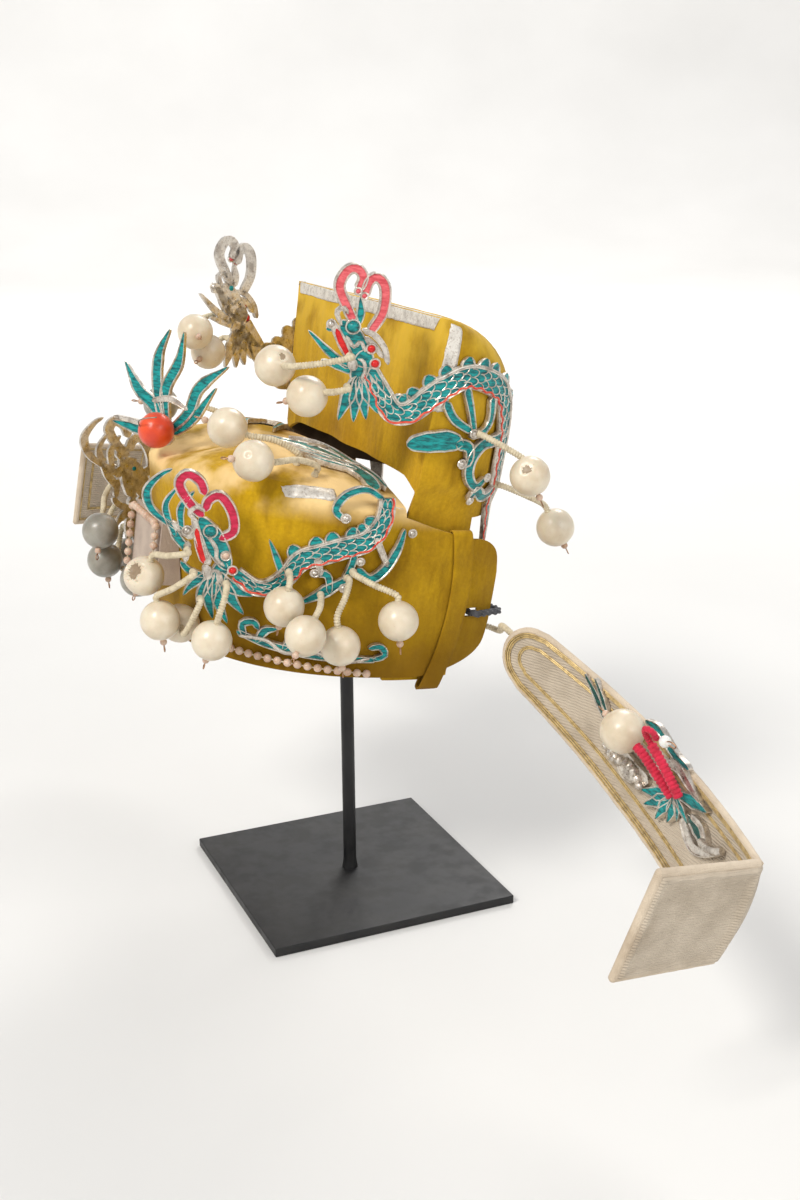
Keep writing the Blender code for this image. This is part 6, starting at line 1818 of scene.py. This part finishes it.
def edge_path(sheet, inset, lift, start, end, step):
    """Points round the arm's outline at an inset: down one edge, round the root, and back."""
    centre = WING_ROOT_WIDTH / 2
    radius = centre - inset
    distances = [end - index * step for index in range(int((end - start) / step) + 1)]
    low = [(d, -sheet.half(d, inset)) for d in distances if d > centre * 1.05]
    turn = [(centre - radius * math.cos(angle), radius * math.sin(angle))
            for angle in np.radians(np.linspace(-80, 80, 15))]
    high = [(d, -a) for d, a in reversed(low)]
    return [sheet.point(d, a, lift) for d, a in low + turn + high]


def felt_ring(sheet, distance):
    """Points round the felt at a distance from the root: the plain side, then the rolled side."""
    half = sheet.half(distance)
    shares = np.sin(np.linspace(-math.pi / 2, math.pi / 2, 33))
    skin = [FELT_THICKNESS / 2 * math.sqrt(1 - abs(share) ** 24) for share in shares]
    ring = [sheet.point(distance, share * half, lift) for share, lift in zip(shares, skin)]
    on_panel = distance > WING_LENGTH
    rise = PANEL_ROLL_RISE if on_panel else ARM_ROLL_RISE
    for share, lift in zip(reversed(shares), reversed(skin)):
        inside = half * (1 - abs(share))
        if on_panel:
            inside = min(inside, WING_TOTAL - distance, distance - WING_LENGTH)
        bulge = 0
        if inside < 1.6 * FELT_ROLL:
            bulge = rise * math.exp(-(inside / FELT_ROLL - 0.45) ** 2 * 9)
        ring.append(sheet.point(distance, share * half, -bulge - lift - 0.02 * MM))
    return ring


def felt_radius(radius, stride, seed):
    """A tube's radius that is a little uneven, like rolled felt."""
    return lambda index, angle: radius + 0.2 * MM * noise.noise(
        Vector((index * stride, angle, seed)))


def wing_edge(sheet, word):
    """The rolled felt edge of the arm and of the end panel."""
    form = Form(f"wing_edge_{word}")
    lift = 0.2 * MM
    for side in (-1, 1):
        distances = WING_LENGTH + np.linspace(1 * MM, PANEL_LENGTH, 24)
        form.tube([sheet.point(d, side * sheet.half(d), lift) for d in distances],
                  felt_radius(PANEL_EDGE_RADIUS, 0.7, side), "felt", 10)
    half = sheet.half(WING_TOTAL)
    form.tube([sheet.point(WING_TOTAL, a, lift) for a in np.linspace(-half, half, 24)],
              PANEL_EDGE_RADIUS, "felt", 10)
    form.tube(edge_path(sheet, 0.4 * MM, lift, 0, WING_LENGTH, 2.5 * MM),
              felt_radius(ARM_EDGE_RADIUS, 0.6, 3), "felt", 10)
    for side in (-1, 1):
        form.ball(sheet.point(WING_TOTAL, side * half, lift), PANEL_EDGE_RADIUS + 0.05 * MM,
                  "felt", segments=10)
    return form.finish()


# Gilt cords: on the arm the inset from the edge and the extra lift, on the end panel the insets
ARM_CORDS = ((1.6 * MM, 0.5 * MM), (2.7 * MM, 0.35 * MM), (3.7 * MM, 0.15 * MM),
             (9 * MM, -0.1 * MM), (10 * MM, -0.1 * MM))
PANEL_CORDS = (1.2 * MM, 2.2 * MM, 9 * MM, 10 * MM)


def panel_loop(sheet, inset, lift):
    """Points round the end panel at an inset; the outer cords start close to the fold."""
    near = WING_LENGTH + (3 * MM if inset < 5 * MM else inset)
    far = WING_TOTAL - inset
    corners = [(near, -1), (far, -1), (far, 1), (near, 1)]
    path = []
    for (distance, edge), (next_distance, next_edge) in zip(corners, corners[1:] + corners[:1]):
        for share in np.linspace(0, 1, 30)[:-1]:
            d = distance + (next_distance - distance) * share
            across = (edge + (next_edge - edge) * share) * sheet.half(d, inset)
            path.append(sheet.point(d, across, lift))
    return path


def wing_cords(sheet, word):
    """Twisted gilt cords along the arm's edge and in rectangles on the end panel."""
    form = Form(f"wing_gilt_{word}")
    lift = FELT_THICKNESS / 2 + GILT_LIFT
    for inset, extra in ARM_CORDS:
        path = edge_path(sheet, inset, lift + extra, inset, WING_LENGTH - 1 * MM, 1 * MM)
        twisted(form, path, GILT_RADIUS, "gold_cord", GILT_PITCH, 6)
    for inset in PANEL_CORDS:
        twisted(form, panel_loop(sheet, inset, lift), GILT_RADIUS, "gold_cord", GILT_PITCH, 6,
                loop=True)
    return form.finish()


def wing(pose):
    """Felt over a board, cupped and folded at its end, with rolled edges and gilt cords."""
    sheet = WingSheet(pose)
    form = Form(f"wing_{pose.side}_dressed")
    distances = [0.4 * MM, 1.5 * MM, 3.5 * MM, 6 * MM, 9 * MM, 13 * MM,
                 *np.arange(17 * MM, WING_LENGTH, 3 * MM), *np.linspace(WING_LENGTH, WING_TOTAL, 40)]
    form.loft([felt_ring(sheet, distance) for distance in distances], "wing_cloth")
    item = form.finish([f"wing_{pose.side}"], sharp=60)
    trim_item = wing_edge(sheet, pose.side)
    gilt_item = wing_cords(sheet, pose.side)
    wing_dragon(sheet, pose.side)
    wing_pearl(sheet, pose.side)


# The small dragon on each wing, in millimetres: distance from the root and up from the middle
WING_DRAGON = {
    "claw_long": Stroke((1.5, 4.5, 5, 4), 0.0, "dark_green", (
        (48.5, 19.5), (57.5, 14.5), (65.5, 9.5), (74.5, 5.5))),
    "claw_short": Stroke((1.5, 4, 4), 0.3, "dark_green", ((55.5, 22.5), (62.5, 16.5), (71.5, 7.5))),
    "spine": Stroke((6, 8, 8, 7), 0.2, "silver", (
        (72.5, 4.5), (82.5, -0.5), (92.5, -1.5), (102.5, -1.5), (110.5, -0.5))),
    "mane": Stroke((5, 7, 5), 0.5, "silver", ((86.5, -3.5), (95.5, -6.5), (103.5, -5.5))),
    "neck": Stroke((3, 6, 7, 6, 3), 0.4, "teal", (
        (95.5, 27.5), (106.5, 30.5), (116.5, 27.5), (124.5, 26.5), (134.5, 28.5))),
    "jaw": Stroke((4, 7, 6, 2), 0.7, "silver", (
        (114.5, 16.5), (124.5, 22.5), (136.5, 20.5), (148.5, 19.5))),
    "back": Stroke((7, 10, 7), 0.1, "silver", ((106.5, 6.5), (116.5, 8.5), (128.5, 8.5))),
    "fan_1": Stroke((4, 8, 1), 0.9, "teal", ((128.5, 6.5), (117.5, -0.5), (109.5, -5.5))),
    "fan_2": Stroke((4, 8, 1), 1.1, "teal", ((128.5, 6.5), (120.5, -3.5), (115.5, -9.5))),
    "fan_3": Stroke((4, 8, 1), 1.3, "teal", ((128.5, 6.5), (126.5, -2.5), (126.5, -9.5))),
    "fan_4": Stroke((4, 8, 1), 1.1, "teal", ((129.5, 6.5), (132.5, -0.5), (133.5, -5.5))),
    "fan_5": Stroke((4, 5, 1), 0.9, "teal", ((130.5, 7.5), (135.5, 3.5), (138.5, -0.5))),
    "fan_6": Stroke((4, 5, 1), 1.2, "teal", ((130.5, 8.5), (138.5, 6.5), (145.5, 4.5))),
    "fan_7": Stroke((4, 8, 2), 1.0, "teal", ((130.5, 10.5), (142.5, 15.5), (155.5, 19.5))),
    "tail": Stroke((5, 6, 5, 4, 3), 0.3, "silver", (
        (139.5, 2.5), (148.5, -1.5), (155.5, -2.5), (163.5, 1.5), (172.5, 9.5))),
    "tail_side": Stroke((3, 4, 3), 0.3, "silver", ((144.5, 8.5), (154.5, 9.5), (162.5, 4.5))),
    "tail_cell": Stroke((3, 7, 2), 0.1, "dark_green", ((141.5, 6.5), (151.5, 5.5), (160.5, 2.5))),
}
DRAGON_LUMPS = 9
DRAGON_FINGER = ((158, 4, 4), (165, 6, 5), (171, 9, 5), (175, 12, 4))

# The pearl over the small dragon and its crimson stems, in millimetres: along, across and lift
WING_PEARL_CENTRE = (94.4, 21.3, 17.5)
WING_STEMS = (
    ((133, 10, 9), (122, 15.4, 13), (109, 20.5, 16)),
    ((138, 14, 9), (128, 22, 12.5), (115.5, 29.5, 15)),
)
WING_CURL = ((115.5, 29.5, 15), (113, 33.5, 17), (114, 38, 18), (117.5, 38.5, 16), (118, 35, 14),
             (114.5, 34, 13))
WING_WIRE = ((125, 38, 13), (130, 41.5, 13), (134, 42, 12), (132, 39, 12), (127, 38, 13))


def wing_dragon(sheet, word):
    """The small dragon, with crumpled silver lumps down its spine and one knotted finger."""
    form = Form(f"wing_dragon_{word}_dressed", sheet.place)
    for stroke in WING_DRAGON.values():
        points = [Vector((*place, 0)) * MM for place in stroke.points]
        band(form, points, stroke.widths, stroke.lift, stroke.fill, 1.4 * MM, 3.6 * MM)
    for index in range(DRAGON_LUMPS):
        place = Vector((78.5 + 3.6 * index, -3.5 - 2 * math.sin(index * 0.9), 4.2)) * MM
        form.ball(place, 2.8 * MM, "silver", segments=10, rows=6, ripple=0.3)
    finger = smooth_path([Vector(place) * MM for place in DRAGON_FINGER], 9)
    form.tube(finger, lambda index, angle: (2.0 + 0.5 * (index % 2)) * MM, "silver")
    form.finish([f"wing_dragon_{word}"])


def wing_pearl(sheet, word):
    """The pearl over the small dragon, its two crimson stems, a curl, and a bead with its wire."""
    form = Form(f"wing_pearl_{word}_dressed")

    def spots(places):
        """Places over the wing, from millimetres."""
        return [sheet.place(Vector(place) * MM) for place in places]

    centre, bead = spots((WING_PEARL_CENTRE, WING_WIRE[0]))
    carrying, passing = [spots(route) for route in WING_STEMS]
    hung_pearl(form, centre, WING_PEARL_RADIUS, centre - carrying[-1], "pearl")
    carrying.append(carrying[-1].lerp(centre, 0.3))
    for path in (carrying, passing):
        wrapped(form, smooth_path(path, 6), 2.1 * MM, "crimson_thread", pitch=2.1 * MM)
    wrapped(form, smooth_path(spots(WING_CURL), 18), 1.2 * MM, "crimson_thread", pitch=1.7 * MM)
    form.ball(bead, 3.0 * MM, "glass_bead", segments=16, rows=10)
    form.tube(smooth_path(spots(WING_WIRE), 16), 0.35 * MM, "copper_wire", 6)
    form.finish([f"wing_pearl_{word}"])


def wing_stem(pose):
    """A wrapped stem from inside the tab's end, out to the back of the wing's root."""
    side = 1 if pose.side == "left" else -1
    end = TAB_LENGTH - SLOT_OFFSET
    z = 0.27 * CAP_HEIGHT
    y = end - 9 * MM
    radius = STEM_DIAMETER / 2
    root = wing_frames(pose, 8)
    behind = WING_THICKNESS / 2 + radius + GAP
    approach = root[0].centre + root[0].normal * (behind + 3 * MM) - root[0].along * 8 * MM
    seat = root[0].centre.lerp(root[1].centre, 0.7) + root[0].normal * (behind + 0.22 * WING_CUP)
    route = [
        Vector((cap_side(y, z) - SUEDE - radius - 3 * GAP, y, z)),
        Vector((cap_side(end, z) - SUEDE - radius - 3 * GAP, end + 2 * MM, z)),
        Vector((cap_side(end, z) + 5 * MM, end + 6 * MM, z + 0.5 * MM)),
        approach,
        seat,
    ]
    mirror = Vector((side, 1, 1))
    form = Form(f"wing_stem_{pose.side}_dressed")
    wrapped(form, [p * mirror for p in route], radius - THREAD_RISE, "cream_thread", sides=12)
    form.finish([f"wing_stem_{pose.side}"])


# Stage: floor, lights and camera

Lamp = namedtuple("Lamp", "place target size power colour")
LAMPS = {
    "key": Lamp((1.5, -2.7, 3.2), (0, 0, 0.22), 1.3, 120, (1.0, 0.98, 0.94)),
    "fill": Lamp((3.0, 1.0, 1.6), (0, 0, 0.2), 2.0, 28, (0.96, 0.98, 1.0)),
    "back": Lamp((-2.2, 2.0, 2.9), (0, 0, 0.25), 1.6, 62, (1.0, 0.99, 0.97)),
    "wall": Lamp((-2.4, 0.6, 3.1), (-4.9, 1.6, 0.9), 2.2, 55, (1.0, 0.99, 0.98)),
}


def area_light(name, lamp):
    """A round soft light that faces its target; the power is in watts."""
    data = bpy.data.lights.new(name, "AREA")
    data.shape = "DISK"
    data.size = lamp.size
    data.energy = lamp.power
    data.color = lamp.colour
    item = placed(name, data)
    item.location = lamp.place
    facing = Vector(lamp.target) - Vector(lamp.place)
    item.rotation_euler = facing.to_track_quat("-Z", "Y").to_euler()


def sweep():
    """A pale round floor that sweeps up far behind the object."""
    profile = [(reach, 0.0) for reach in (0.001, 0.4, 1.0, 2.0, SWEEP_REACH - SWEEP_BEND)]
    profile += [(SWEEP_REACH - SWEEP_BEND * (1 - math.sin(turn)), SWEEP_BEND * (1 - math.cos(turn)))
                for turn in np.radians(range(10, 91, 10))]
    profile.append((SWEEP_REACH, SWEEP_HEIGHT))
    bm = bmesh.new()
    rows = [[bm.verts.new((reach * math.cos(angle), reach * math.sin(angle), height))
             for angle in np.linspace(0, 2 * math.pi, 97)[:-1]] for reach, height in profile]
    grid_faces(bm, [row + row[:1] for row in rows])
    bmesh.ops.recalc_face_normals(bm, faces=bm.faces)
    mesh = mesh_of(bm, "floor", "floor")
    mesh.shade_smooth()
    floor = placed("floor", mesh)
    floor.location.z = -0.2 * MM


def stage():
    """The floor, soft lights and a pale sky."""
    sweep()
    world = bpy.data.worlds.new("studio")
    world.use_nodes = True
    sky = world.node_tree.nodes["Background"]
    sky.inputs["Color"].default_value = (0.93, 0.95, 1.0, 1)
    sky.inputs["Strength"].default_value = 0.5
    bpy.context.scene.world = world
    for name, lamp in LAMPS.items():
        area_light(name, lamp)
    bpy.context.scene.view_settings.view_transform = "Standard"


# The photo's viewpoint, solved from the stand's plate and the cap's rim
CAMERA_PLACE = (0.791, -0.3094, 0.4505)
CAMERA_AZIMUTH = math.radians(66.449)
CAMERA_PITCH = math.radians(17.649)
CAMERA_ROLL = math.radians(-0.384)


def camera():
    """The photo's camera: its lens is 45 mm on a frame 36 mm high."""
    level = Vector((math.cos(CAMERA_AZIMUTH), math.sin(CAMERA_AZIMUTH), 0))
    ahead = Vector((-math.sin(CAMERA_AZIMUTH), math.cos(CAMERA_AZIMUTH), 0))
    forward = ahead * math.cos(CAMERA_PITCH) - Vector((0, 0, math.sin(CAMERA_PITCH)))
    upright = level.cross(forward)
    across = math.cos(CAMERA_ROLL) * level + math.sin(CAMERA_ROLL) * upright
    up = math.cos(CAMERA_ROLL) * upright - math.sin(CAMERA_ROLL) * level
    data = bpy.data.cameras.new("camera")
    data.sensor_fit = "VERTICAL"
    data.sensor_height = 36
    data.lens = 45
    data.clip_start = 0.01
    item = placed("camera", data)
    turned = Matrix((across, up, -forward)).transposed().to_4x4()
    item.matrix_world = Matrix.Translation(CAMERA_PLACE) @ turned
    bpy.context.scene.camera = item


def build():
    """Everything, in one pass for each side where there are two."""
    camera()
    stage()
    stand()
    bases = {"cap": cap(), "crown": crown()}
    for name, foil in FOILS.items():
        foil_patch(name, foil, bases[foil.base])
    tie_cord()
    brow()
    flame()
    fire_ball()
    for side, word in ((1, "left"), (-1, "right")):
        loop_strap(side, word)
        rim_beads(side, word)
        relief(f"front_relief_{word}", FRONT_DRAGON, "front", side, FRONT_STUDS,
               FRONT_FINS, [f"front_dragon_{word}"])
        relief(f"rear_relief_{word}", REAR_DRAGON, "rear", side, REAR_STUDS,
               REAR_FINS, [f"rear_dragon_{word}"])
        relief(f"tail_relief_{word}", DRAGON_TAIL, "dome", side,
               nodes=[f"front_dragon_tail_{word}"])
        relief(f"rim_relief_{word}", RIM_TRIM, "front", side, nodes=[f"rim_trim_{word}"])
        for name, row in PEARLS.items():
            if row.sides in ("both", word):
                pearl(name, row, side, word)
    for pose in WINGS:
        wing(pose)
        wing_stem(pose)


build()
